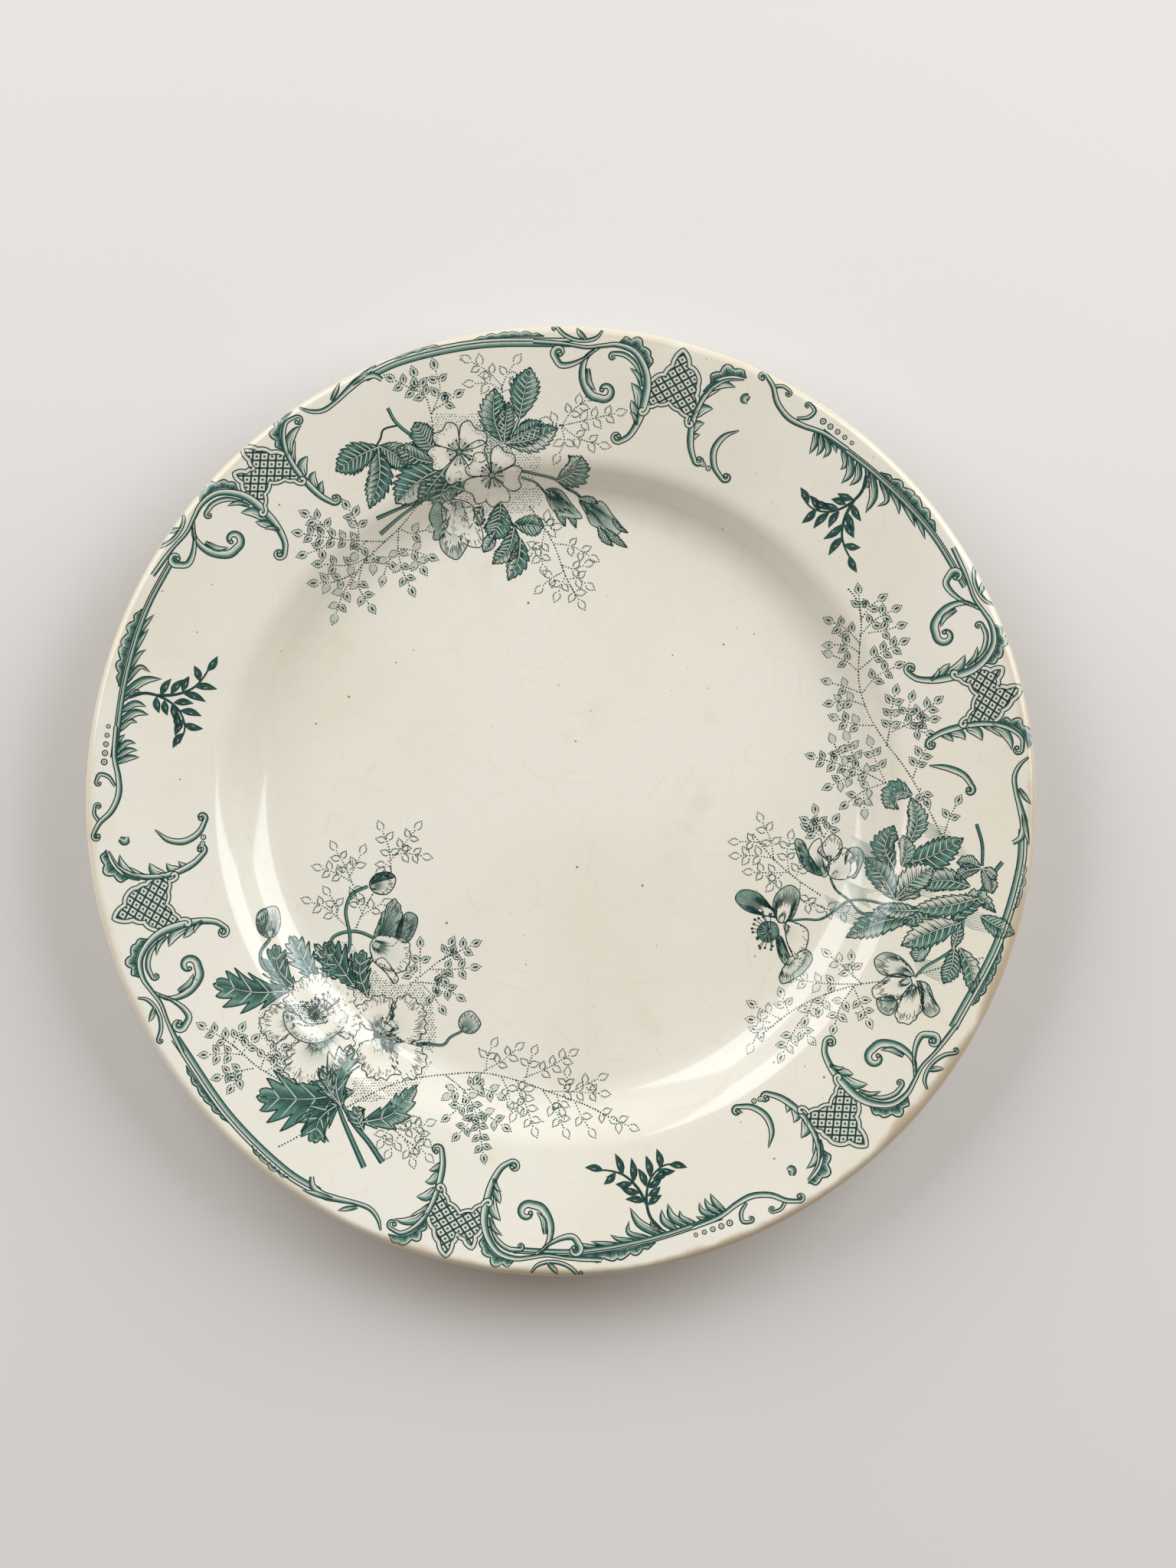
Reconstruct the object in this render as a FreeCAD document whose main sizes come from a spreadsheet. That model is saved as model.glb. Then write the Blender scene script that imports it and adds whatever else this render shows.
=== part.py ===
"""A glazed earthenware dinner plate, drawn in millimetres with +Z up.

The plate is one fired piece made of two materials: the biscuit body, turned as a single solid with
its foot ring, and the glaze, which the bare tread of the foot divides into a coat over the face and
back and a patch inside the foot ring.
The origin is at the centre of the foot's tread, on the surface that the plate stands on.
"""

import FreeCAD, Part
import math
import os
import Sketcher
from FreeCAD import Vector

DRIVING_SIZES = {
    # overall, measured over the glaze
    "plate_diameter": 240,
    "plate_height": 24,
    # rim
    "rim_width": 34,
    "rim_slope": 13,
    "lip_thickness": 3.4,
    "lip_radius": 1.5,
    "shoulder_radius": 9,
    # well
    "wall_slope": 48,
    "well_curve_radius": 13,
    "floor_thickness": 4.4,
    # underside
    "body_thickness": 3.9,
    "under_shoulder_radius": 6,
    "under_curve_radius": 8.5,
    # foot ring; its inset is measured in from where the wall springs from the flat underside
    "foot_height": 2.2,
    "foot_inset": 7.77,
    "tread_width": 3,
    "foot_draft": 20,
    "foot_edge_radius": 0.7,
    "foot_fillet_radius": 1,
    # glaze
    "glaze_thickness": 0.2,
    "bare_foot_height": 0.5,
}

PARTS_FOLDER = "parts"

doc = FreeCAD.newDocument("dinner_plate")


def make_sizes(sizes):
    """The spreadsheet of driving dimensions, one aliased cell each."""
    sheet = doc.addObject("Spreadsheet::Sheet", "Sizes")
    for row, (alias, value) in enumerate(sizes.items(), start=1):
        sheet.set(f"A{row}", alias.replace("_", " "))
        sheet.set(f"B{row}", str(value))
        sheet.setAlias(f"B{row}", alias)
    doc.recompute()
    return sheet


SHEET = make_sizes(DRIVING_SIZES)


def bound(expression):
    """An expression in which every driving size's name becomes a reference to its cell."""
    for alias in sorted(DRIVING_SIZES, key=len, reverse=True):
        expression = expression.replace(f"<{alias}>", f"Sizes.{alias}")
    return expression


def value_of(expression):
    """What an expression is worth now."""
    return float(SHEET.evalExpression(bound(expression)))


# ---- the biscuit's outline: places of its sharp corners before they are rounded ----------------

BISCUIT_RADIUS = "(<plate_diameter> / 2 - <glaze_thickness>)"
# The lip's round top is as high as the plate, so its sharp corner stands a little higher.
LIP_CORNER_ANGLE = "((90 - <rim_slope>) / 2)"
LIP_RISE = f"(<lip_radius> / tan({LIP_CORNER_ANGLE}) - <lip_radius>)"
LIP_TOP = f"(<plate_height> - <glaze_thickness> + {LIP_RISE})"
FLOOR_TOP = "(<foot_height> + <floor_thickness>)"
SHOULDER_X = f"({BISCUIT_RADIUS} - <rim_width>)"
SHOULDER_Z = f"({LIP_TOP} - <rim_width> * tan(<rim_slope>))"
FLOOR_EDGE_X = f"({SHOULDER_X} - ({SHOULDER_Z} - {FLOOR_TOP}) / tan(<wall_slope>))"
# The underside runs one body thickness below the shoulder and the wall.
SHIFT = "(<body_thickness> / cos((<wall_slope> - <rim_slope>) / 2))"
MEAN_SLOPE = "((<wall_slope> + <rim_slope>) / 2)"
UNDER_SHOULDER_X = f"({SHOULDER_X} + {SHIFT} * sin({MEAN_SLOPE}))"
UNDER_SHOULDER_Z = f"({SHOULDER_Z} - {SHIFT} * cos({MEAN_SLOPE}))"
UNDER_FLOOR_Z = f"({FLOOR_TOP} - <body_thickness>)"
UNDER_EDGE_X = f"({UNDER_SHOULDER_X} - ({UNDER_SHOULDER_Z} - {UNDER_FLOOR_Z}) / tan(<wall_slope>))"
TREAD_OUT = f"({UNDER_EDGE_X} - <foot_inset>)"
TREAD_IN = f"({TREAD_OUT} - <tread_width>)"

# (x, z, radius of the rounding): from the axis over the face, round the lip and back below.
CORNERS = [
    ("0", FLOOR_TOP, None),
    (FLOOR_EDGE_X, FLOOR_TOP, "<well_curve_radius>"),
    (SHOULDER_X, SHOULDER_Z, "<shoulder_radius>"),
    (BISCUIT_RADIUS, LIP_TOP, "<lip_radius>"),
    (BISCUIT_RADIUS, f"({LIP_TOP} - <lip_thickness>)", "<lip_radius>"),
    (UNDER_SHOULDER_X, UNDER_SHOULDER_Z, "<under_shoulder_radius>"),
    (UNDER_EDGE_X, UNDER_FLOOR_Z, "<under_curve_radius>"),
    (f"({TREAD_OUT} + {UNDER_FLOOR_Z} * tan(<foot_draft>))", UNDER_FLOOR_Z, "<foot_fillet_radius>"),
    (TREAD_OUT, "0", "<foot_edge_radius>"),
    (TREAD_IN, "0", "<foot_edge_radius>"),
    (f"({TREAD_IN} - <foot_height> * tan(<foot_draft>))", "<foot_height>", "<foot_fillet_radius>"),
    ("0", "<foot_height>", None),
]

ORIGIN_POINT = (-1, 1)
HORIZONTAL_AXIS = -1
VERTICAL_AXIS = -2


def hold_corner(sketch, point, x, z):
    """Holds a construction point at (x, z): on an axis where a place is zero, else by a distance."""
    for place, axis, kind in ((x, VERTICAL_AXIS, "DistanceX"), (z, HORIZONTAL_AXIS, "DistanceY")):
        if place == "0":
            sketch.addConstraint(Sketcher.Constraint("PointOnObject", point, 1, axis))
        else:
            held = Sketcher.Constraint(kind, *ORIGIN_POINT, point, 1, value_of(place))
            number = sketch.addConstraint(held)
            sketch.setExpression(f"Constraints[{number}]", bound(place))


def rounding(corner, last, following, radius):
    """A corner's arc: its end on the side before, its middle and its end on the next side."""
    towards_last = (last - corner).normalize()
    towards_next = (following - corner).normalize()
    half_angle = towards_last.getAngle(towards_next) / 2
    reach = radius / math.tan(half_angle)
    to_centre = math.hypot(reach, radius)
    bisector = (towards_last + towards_next).normalize()
    middle = corner + bisector * (to_centre - radius)
    return corner + towards_last * reach, middle, corner + towards_next * reach


def draw_rounded_outline(sketch, corners):
    """A closed outline with an arc at each rounded corner.

    Every sharp corner stays as a construction point that carries the bound dimensions. Each side
    passes through two of these points, and each arc is tangent to the two sides that it joins.
    """
    count = len(corners)
    places = [Vector(value_of(x), value_of(z), 0) for x, z, _ in corners]
    points = []
    for (x, z, _), place in zip(corners, places):
        points.append(sketch.addGeometry(Part.Point(place), True))
        hold_corner(sketch, points[-1], x, z)

    arcs = []
    for k, (_, _, radius) in enumerate(corners):
        size = value_of(radius) if radius else 0.0
        arcs.append(rounding(places[k], places[k - 1], places[(k + 1) % count], size))

    sides = []
    for k in range(count):
        side = Part.LineSegment(arcs[k][2], arcs[(k + 1) % count][0])
        sides.append(sketch.addGeometry(side, False))

    for k, (_, _, radius) in enumerate(corners):
        before, after = sides[k - 1], sides[k]
        if radius is None:
            sketch.addConstraint(Sketcher.Constraint("Coincident", before, 2, after, 1))
            sketch.addConstraint(Sketcher.Constraint("Coincident", after, 1, points[k], 1))
            continue
        for side in (before, after):
            sketch.addConstraint(Sketcher.Constraint("PointOnObject", points[k], 1, side))
        arc = sketch.addGeometry(Part.Arc(*arcs[k]), False)
        # a sketch keeps its arcs anticlockwise, so either end may be the one at the side before
        own_start = sketch.getPoint(arc, 1)
        runs_on = own_start.distanceToPoint(arcs[k][0]) < own_start.distanceToPoint(arcs[k][2])
        at_before, at_after = (1, 2) if runs_on else (2, 1)
        sketch.addConstraint(Sketcher.Constraint("Tangent", before, 2, arc, at_before))
        sketch.addConstraint(Sketcher.Constraint("Tangent", after, 1, arc, at_after))
        number = sketch.addConstraint(Sketcher.Constraint("Radius", arc, value_of(radius)))
        sketch.setExpression(f"Constraints[{number}]", bound(radius))


def origin_plane(body, role):
    """One of a body's own origin planes."""
    return next(feature for feature in body.Origin.OriginFeatures if feature.Role == role)


# ---- biscuit body: one turned solid with its foot ring -----------------------------------------


def make_biscuit():
    """The plate's outline turned once round the axis, as a jigger tool turns it."""
    body = doc.addObject("PartDesign::Body", "biscuit_body")
    outline = body.newObject("Sketcher::SketchObject", "plate_outline")
    outline.AttachmentSupport = (origin_plane(body, "XZ_Plane"), [""])
    outline.MapMode = "FlatFace"
    draw_rounded_outline(outline, CORNERS)
    doc.recompute()
    turning = body.newObject("PartDesign::Revolution", "turning")
    turning.Profile = outline
    turning.ReferenceAxis = (outline, ["V_Axis"])
    turning.Angle = 360
    body.Tip = turning
    doc.recompute()
    return body, outline


# ---- glaze: an even skin round the biscuit, wiped off the tread --------------------------------

UPRIGHT = FreeCAD.Rotation(Vector(1, 0, 0), 90)


def make_band(outline):
    """The glaze's section: the strip between the biscuit's outline and its parallel outside."""
    band = doc.addObject("Part::Offset2D", "glaze_band")
    band.Source = outline
    band.setExpression("Value", bound("<glaze_thickness>"))
    band.Mode = "Pipe"
    band.Join = "Arc"
    band.Fill = True
    return band


def make_window(name, x_end, z_start, z_end):
    """A rectangle in the outline's plane, from the axis out to x_end and from z_start up to z_end."""
    window = doc.addObject("Part::Plane", name)
    window.Placement = FreeCAD.Placement(Vector(0, 0, 0), UPRIGHT)
    window.setExpression("Length", bound(x_end))
    window.setExpression("Width", bound(f"{z_end} - {z_start}"))
    window.setExpression("Placement.Base.z", bound(z_start))
    return window


def trim(kind, name, base, tool):
    """What a Part::Cut leaves of base, or what a Part::Common shares with it."""
    trimmed = doc.addObject(kind, name)
    trimmed.Base = base
    trimmed.Tool = tool
    return trimmed


def turn(name, section):
    """A section turned once round the plate's axis into a solid."""
    turned = doc.addObject("Part::Revolution", name)
    turned.Source = section
    turned.Axis = Vector(0, 0, 1)
    turned.Angle = 360
    turned.Solid = True
    return turned


def make_glaze(outline):
    """The coat over the face and back, and the patch inside the foot ring.

    The whole window takes the band from where the tread was wiped up to past the lip. The inner
    window reaches from there to halfway through the floor, so it holds the patch alone.
    """
    band = make_band(outline)
    beyond = "(<plate_diameter>)"
    inside_foot = f"({TREAD_OUT} - <tread_width> / 2)"
    floor_middle = "(<foot_height> + <floor_thickness> / 2)"
    whole_window = make_window("glazed_height", beyond, "<bare_foot_height>", "(2 * <plate_height>)")
    inner_window = make_window("inside_foot", inside_foot, "(0 - <foot_height>)", floor_middle)
    glazed = trim("Part::Common", "wiped_band", band, whole_window)
    coat = turn("glaze_coat", trim("Part::Cut", "coat_section", glazed, inner_window))
    patch = turn("glaze_inside_foot", trim("Part::Common", "patch_section", glazed, inner_window))
    return coat, patch


def check_document(sub_parts):
    """Stops if any object failed to build, or any sub-part isn't a sound solid."""
    for item in doc.Objects:
        if "Invalid" in item.State or "Error" in item.State:
            raise RuntimeError(f"{item.Label} failed: {item.State}")
    for sub_part in sub_parts:
        shape = sub_part.Shape
        if shape.isNull() or not shape.isValid() or not shape.Solids:
            raise RuntimeError(f"{sub_part.Label} is not a valid solid")


def main():
    biscuit, outline = make_biscuit()
    sub_parts = [biscuit, *make_glaze(outline)]
    doc.recompute()
    check_document(sub_parts)
    os.makedirs(PARTS_FOLDER, exist_ok=True)
    for sub_part in sub_parts:
        sub_part.Shape.exportStep(os.path.join(PARTS_FOLDER, f"{sub_part.Label}.step"))
        box = sub_part.Shape.optimalBoundingBox(False)
        print(f"{sub_part.Label}: {len(sub_part.Shape.Solids)} solid, {sub_part.Shape.Volume:.0f} mm3")
        print(f"    radius {box.XMax:.3f} mm, z {box.ZMin:.3f} to {box.ZMax:.3f} mm")


main()
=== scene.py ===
# %% [markdown]
# # A printed china dinner plate
#
# A white earthenware plate with a green print of scrolls and flowers under its glaze. The packed
# model gives the frame: the fired biscuit with a coat of glaze on it. This notebook keeps the
# biscuit, models the glaze more finely, and draws the whole print as a thin film of ink.

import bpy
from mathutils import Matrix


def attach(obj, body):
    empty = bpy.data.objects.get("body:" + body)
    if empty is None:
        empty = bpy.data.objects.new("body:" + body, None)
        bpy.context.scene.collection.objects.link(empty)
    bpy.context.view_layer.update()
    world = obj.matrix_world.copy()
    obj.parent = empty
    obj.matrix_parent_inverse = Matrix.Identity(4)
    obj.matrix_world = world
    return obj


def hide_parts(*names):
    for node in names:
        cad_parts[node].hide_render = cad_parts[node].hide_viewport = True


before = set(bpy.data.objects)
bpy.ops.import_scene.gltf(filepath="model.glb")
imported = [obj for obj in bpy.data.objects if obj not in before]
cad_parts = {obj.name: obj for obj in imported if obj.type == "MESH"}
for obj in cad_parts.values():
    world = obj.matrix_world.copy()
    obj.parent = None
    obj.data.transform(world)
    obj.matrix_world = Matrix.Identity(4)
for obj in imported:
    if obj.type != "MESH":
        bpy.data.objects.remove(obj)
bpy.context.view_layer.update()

# %% [markdown]
# ## Drawing tools: lines
#
# The print was engraved on a copper plate: every tone is made of lines and dots. So the drawing
# tools below make lines, dots and shaded bands, in millimetres on the plate's plane, x to the
# right and y to the top. A curve is given by the few points that it passes through.

# %% A smooth line through given points
import math
import random

import numpy as np

random.seed(7)


def blend(a, b, share):
    """The point that lies this share of the way from a to b."""
    return a * (1 - share) + b * share


def curve(points, closed=False, step=0.7):
    """A smooth line through the points, sampled about every step millimetres."""
    p = np.array(points, float)
    if closed:
        p = np.vstack([p[-1:], p, p[:2]])
    else:
        p = np.vstack([2 * p[0] - p[1], p, 2 * p[-1] - p[-2]])
    gaps = np.linalg.norm(np.diff(p, axis=0), axis=1)
    knots = np.concatenate([[0], np.cumsum(np.sqrt(gaps))])
    pieces = []
    for k in range(1, len(p) - 2):
        t0, t1, t2, t3 = knots[k - 1 : k + 3]
        count = max(2, math.ceil(gaps[k] / step))
        t = np.linspace(t1, t2, count, endpoint=False)[:, None]
        a = blend(p[k - 1], p[k], (t - t0) / (t1 - t0))
        b = blend(p[k], p[k + 1], (t - t1) / (t2 - t1))
        c = blend(p[k + 1], p[k + 2], (t - t2) / (t3 - t2))
        d = blend(a, b, (t - t0) / (t2 - t0))
        e = blend(b, c, (t - t1) / (t3 - t1))
        pieces.append(blend(d, e, (t - t1) / (t2 - t1)))
    pieces.append(p[-2:-1])
    return np.vstack(pieces)


print("A curve through three points has", len(curve([(0, 0), (5, 2), (9, 0)])), "points")

# %% [markdown]
# Most marks need to know how far along its line a point lies, and which way is sideways there:
# a stroke swells and tapers along its line, and it is as wide as it reaches to either side.

# %% Measuring along a line
def along(line):
    """How far along a line each of its points lies, from 0 to 1."""
    steps = np.linalg.norm(np.diff(line, axis=0), axis=1)
    reach = np.concatenate([[0], np.cumsum(steps)])
    return reach / max(reach[-1], 1e-9)


def length_of(line):
    """A line's length in millimetres."""
    return float(np.linalg.norm(np.diff(line, axis=0), axis=1).sum())


def sideways(line):
    """The unit vector to the left of a line at each of its points."""
    ahead = np.gradient(line, axis=0)
    ahead /= np.maximum(np.linalg.norm(ahead, axis=1), 1e-9)[:, None]
    return np.stack([-ahead[:, 1], ahead[:, 0]], 1)


def spread(values, line):
    """A list of values spread evenly along a line, one for each of its points."""
    values = np.atleast_1d(values)
    return np.interp(along(line), np.linspace(0, 1, len(values)), values)


print("It is", round(length_of(curve([(0, 0), (5, 2), (9, 0)])), 2), "mm long")

# %% [markdown]
# ## Drawing tools: the film of ink
#
# A transfer print is a film of ink laid on the biscuit and sealed under the glaze. Here the film
# is real geometry: sheets of small faces whose points each carry a tone, from 0 for bare glaze to
# 1 for full ink. Tones blend across a face, which gives soft shading, and a sheet with tone 0 is
# a petal's bare ground that hides the leaves behind it. What is drawn in front gets a higher
# layer, a few thousandths of a millimetre further up.

# %% The film and its simplest marks
class Film:
    """A patch of the print: points in millimetres, each with a tone and a layer, and their faces."""

    def __init__(self):
        self.points = []
        self.tones = []
        self.layers = []
        self.faces = []
        self.layer = 0

    def add(self, points, tones, lift):
        """Adds points and gives the number of the first."""
        first = len(self.points)
        self.points.extend(points)
        self.tones.extend(tones)
        self.layers.extend([self.layer + lift] * len(points))
        return first

    def sheet(self, rows, tones, lift=0.0):
        """A sheet of quads over rows of points, its tones given across a row or for every point."""
        rows = np.asarray(rows)
        count, width = rows.shape[:2]
        tones = np.broadcast_to(np.asarray(tones, float), (count, width))
        first = self.add(rows.reshape(-1, 2).tolist(), tones.reshape(-1).tolist(), lift)
        number = first + np.arange(count * width).reshape(count, width)
        corners = (number[:-1, :-1], number[1:, :-1], number[1:, 1:], number[:-1, 1:])
        self.faces.extend(np.stack(corners, -1).reshape(-1, 4).tolist())

    def spot(self, centre, size, tone=1.0, lift=0.6, sides=6, length=None, turn=0.0):
        """A round or oval dot."""
        angles = np.linspace(0, 2 * math.pi, sides, endpoint=False)
        x = np.cos(angles) * (length or size) / 2
        y = np.sin(angles) * size / 2
        c, s = math.cos(turn), math.sin(turn)
        points = np.stack([centre[0] + x * c - y * s, centre[1] + x * s + y * c], 1)
        first = self.add(points.tolist(), [tone] * sides, lift)
        self.faces.append(list(range(first, first + sides)))

# %% [markdown]
# An engraver has only a few marks: a line that swells and tapers, a row of dots, a shape filled
# with tone, and hatching that fans out. Each is a function that adds a small sheet to the film.

# %% Lines, rows of dots, filled shapes and hatching
def stroke(film, line, width, tone=1.0, lift=0.6):
    """A drawn line, whose width may be a list that swells and tapers along it."""
    line = np.asarray(line, float)
    side = sideways(line) * spread(width, line)[:, None] / 2
    film.sheet(np.stack([line - side, line + side], 1), tone, lift)


def dotted(film, line, size=0.42, gap=0.72, tone=0.9, lift=0.6):
    """A row of dots along a line."""
    line = np.asarray(line, float)
    count = max(2, round(length_of(line) / gap))
    share = along(line)
    for t in np.linspace(0, 1, count):
        centre = [np.interp(t, share, line[:, 0]), np.interp(t, share, line[:, 1])]
        film.spot(centre, size * random.uniform(0.8, 1.15), tone, lift)


def ground(film, outline, centre, tones=(0.0, 0.0), lift=0.0, step=1.6):
    """Fills an outline from its centre out, with tones spread from the centre to the edge."""
    centre = np.asarray(centre, float)
    outline = np.asarray(outline)
    reach = np.linalg.norm(outline - centre, axis=1).max()
    shares = np.linspace(0.0, 1, max(3, math.ceil(reach / step)))
    rows = [centre + (outline - centre) * share for share in shares]
    ring_tones = np.interp(shares, np.linspace(0, 1, len(tones)), tones)
    film.sheet(rows, np.repeat(ring_tones[:, None], len(outline), 1), lift)


def rays(film, outline, root, start, end, gap=0.55, width=0.2, tone=1.0, lift=0.3):
    """Hatching that fans out from a root, between two shares of the way to the outline."""
    root = np.asarray(root, float)
    outline = np.asarray(outline)
    count = max(3, round(length_of(outline) / gap))
    share = along(outline)
    for t in np.linspace(0, 1, count, endpoint=False):
        edge = np.array([np.interp(t, share, outline[:, 0]), np.interp(t, share, outline[:, 1])])
        first = root + (edge - root) * start * random.uniform(0.85, 1.15)
        last = root + (edge - root) * min(1.0, end * random.uniform(0.8, 1.1))
        middle = (first + last) / 2
        stroke(film, [first, middle, last], [0.6 * width, width, 0.3 * width], tone, lift)

# %% [markdown]
# Soft shadows are dots scattered over an area, so a test is needed for what lies inside an
# outline. It counts how often a level line from the point crosses the outline.

# %% Scalloped edges and scattered dots
def inside(points, outline):
    """Which of the points lie inside a closed outline."""
    points = np.atleast_2d(points)
    x, y = points[:, :1], points[:, 1:]
    x0, y0 = outline[:, 0], outline[:, 1]
    x1, y1 = np.roll(x0, -1), np.roll(y0, -1)
    rise = np.where(y1 == y0, 1e-9, y1 - y0)
    crosses = ((y0 > y) != (y1 > y)) & (x < (x1 - x0) * (y - y0) / rise + x0)
    return crosses.sum(1) % 2 == 1


def scalloped(points, bulge=0.2, step=0.4):
    """A line of arcs that swell to the right of the way from point to point, as on a carved edge."""
    pieces = []
    points = np.asarray(points, float)
    for first, last in zip(points[:-1], points[1:]):
        chord = last - first
        t = np.linspace(0, 1, max(4, math.ceil(np.linalg.norm(chord) / step)), endpoint=False)[:, None]
        out = np.array([chord[1], -chord[0]])
        pieces.append(first + chord * t + out * -4 * bulge * t * (1 - t))
    return np.vstack(pieces + [points[-1:]])


def stipple(film, points, gap=0.75, size=0.34, tone=0.8, lift=0.2):
    """Dots scattered over an area: the engraver's soft shadow."""
    outline = curve(points, closed=True)
    low, high = outline.min(0), outline.max(0)
    for row, y in enumerate(np.arange(low[1], high[1], gap * 0.87)):
        for x in np.arange(low[0] + (row % 2) * gap / 2, high[0], gap):
            spot = np.array([x, y]) + [random.uniform(-0.12, 0.12), random.uniform(-0.12, 0.12)]
            if inside(spot, outline)[0]:
                film.spot(spot, size * random.uniform(0.7, 1.2), tone, lift, sides=5)

# %% [markdown]
# ## Drawing tools: scrollwork
#
# The border's scrolls are modelled like carved wood: a dark outline, shade down one side and a
# pale crown, winding up at the ends round a small eye. Pointed lobes grow from them as acanthus,
# and shell edges stand outside them.

# %% Bands and spirals
OUTLINE = 0.3


def band(film, line, widths, shade=1, lift=0.3, tones=(0.85, 0.24, 0.06)):
    """A rounded band between two outlines, dark on one side and pale on the other."""
    line = np.asarray(line, float)
    half = spread(widths, line) / 2
    edge = np.minimum(OUTLINE, half * 0.75)
    rim = half - edge
    places = [-half, -rim, -rim * 0.96, -rim * 0.1, rim * 0.55, rim * 0.96, rim, half]
    across = [1, 1, tones[0], tones[1], tones[2], tones[2], 1, 1]
    side = sideways(line) * shade
    film.sheet(np.stack([line + side * place[:, None] for place in places], 1), across, lift)


def wind(line, radius, side, turns=1.1, tight=0.35):
    """Winds a line's end up into a spiral on its left (side 1) or right (side -1)."""
    steps = max(6, round(turns * 26))
    turn = side * 2 * math.pi * turns / steps
    ahead = line[-1] - line[-2]
    heading = math.atan2(ahead[1], ahead[0])
    points = [line[-1]]
    for size in np.linspace(radius, radius * tight, steps):
        heading += turn
        move = size * abs(turn)
        points.append(points[-1] + move * np.array([math.cos(heading), math.sin(heading)]))
    return np.vstack([line, points[1:]])

# %% [markdown]
# A scroll is a band that may wind up at either end. Its eye is a dark dot with a light in it.
# A lobe is a short band that comes to a point.

# %% Scrolls and lobes
def scroll(film, points, widths, start=None, end=None, shade=1, lift=0.3, eye=0.9,
    tones=(0.85, 0.24, 0.06)):
    """A band through the points, whose ends may wind up: start and end are (radius, side, turns)."""
    line = curve(points)
    eyes = []
    if end:
        line = wind(line, *end)
        eyes.append(line[-1])
    if start:
        line = wind(line[::-1], *start)[::-1]
        eyes.append(line[0])
    band(film, line, widths, shade, lift, tones)
    for centre in eyes:
        film.spot(centre, eye * 1.5, 1.0, lift + 0.2, sides=10)
        film.spot(centre, eye * 0.7, 0.25, lift + 0.4, sides=8)


def lobe(film, points, width, shade=1, lift=0.4, tones=(0.75, 0.22, 0.06)):
    """A pointed acanthus lobe from its root to its tip, with two flutes."""
    line = curve(points, step=0.45)
    band(film, line, [0.55 * width, 0.9 * width, width, 0.95 * width, 0.62 * width, 0.12], shade, lift,
        tones)
    flute = line[: max(3, int(len(line) * 0.66))]
    side = sideways(flute) * shade
    for place, share in ((-0.16, 1.0), (0.12, 0.7)):
        part = slice(0, max(3, int(len(flute) * share)))
        stroke(film, (flute - side * width * place)[part], [0.3, 0.24, 0.06], 1.0, lift + 0.1)

# %% [markdown]
# A shell edge is a sheet that stands along a line. Its height rises and falls with every lobe,
# and it is dark at the foot, where the flutes meet.

# %% Shell edges
def shell(film, points, height, lobes, side=1, lift=0.1):
    """A shell edge along a line: dark flutes at its foot and a pale scalloped lip."""
    line = curve(points, step=0.35)
    t = along(line)
    scallop = np.abs(np.sin(math.pi * lobes * t)) ** 0.6 + 0.25 * np.sin(2 * math.pi * lobes * 0.7 * t + 1)
    ends = np.clip(np.minimum(t, 1 - t) * 9, 0.25, 1)
    rise = spread(height, line) * (0.5 + 0.42 * scallop) * ends
    out = sideways(line) * side
    rows = [line + out * (rise * share)[:, None] for share in (0, 0.3, 0.55, 0.8, 1)]
    tones = np.stack([np.full_like(t, tone) for tone in (0.95, 0.85, 0.45, 0.12, 0.08)], 1)
    tones[:, 1:3] *= (0.65 + 0.35 * np.abs(np.sin(math.pi * lobes * t)))[:, None]
    film.sheet(np.stack(rows, 1), tones, lift)
    stroke(film, rows[-1], 0.4, 1.0, lift + 0.2)
    for t0 in np.linspace(0.5 / lobes, 1 - 0.5 / lobes, 2 * lobes - 1):
        k = int(t0 * (len(line) - 1))
        stroke(film, [line[k], blend(line[k], rows[-1][k], 0.45), blend(line[k], rows[-1][k], 0.8)],
               [0.4, 0.3, 0.08], 1.0, lift + 0.2)

# %% [markdown]
# ## Drawing tools: leaves, petals and ferns
#
# A leaf is two halves on a midrib, one in the light and one in shade, with a toothed edge and
# hatching that leans forward like its veins. A petal is a bare ground with hatching that fans out
# from its root. Fern sprays are drawn with dots alone, and pale ones lack the dark heart.

# %% Leaves
BLUNT = 1.15


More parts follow.
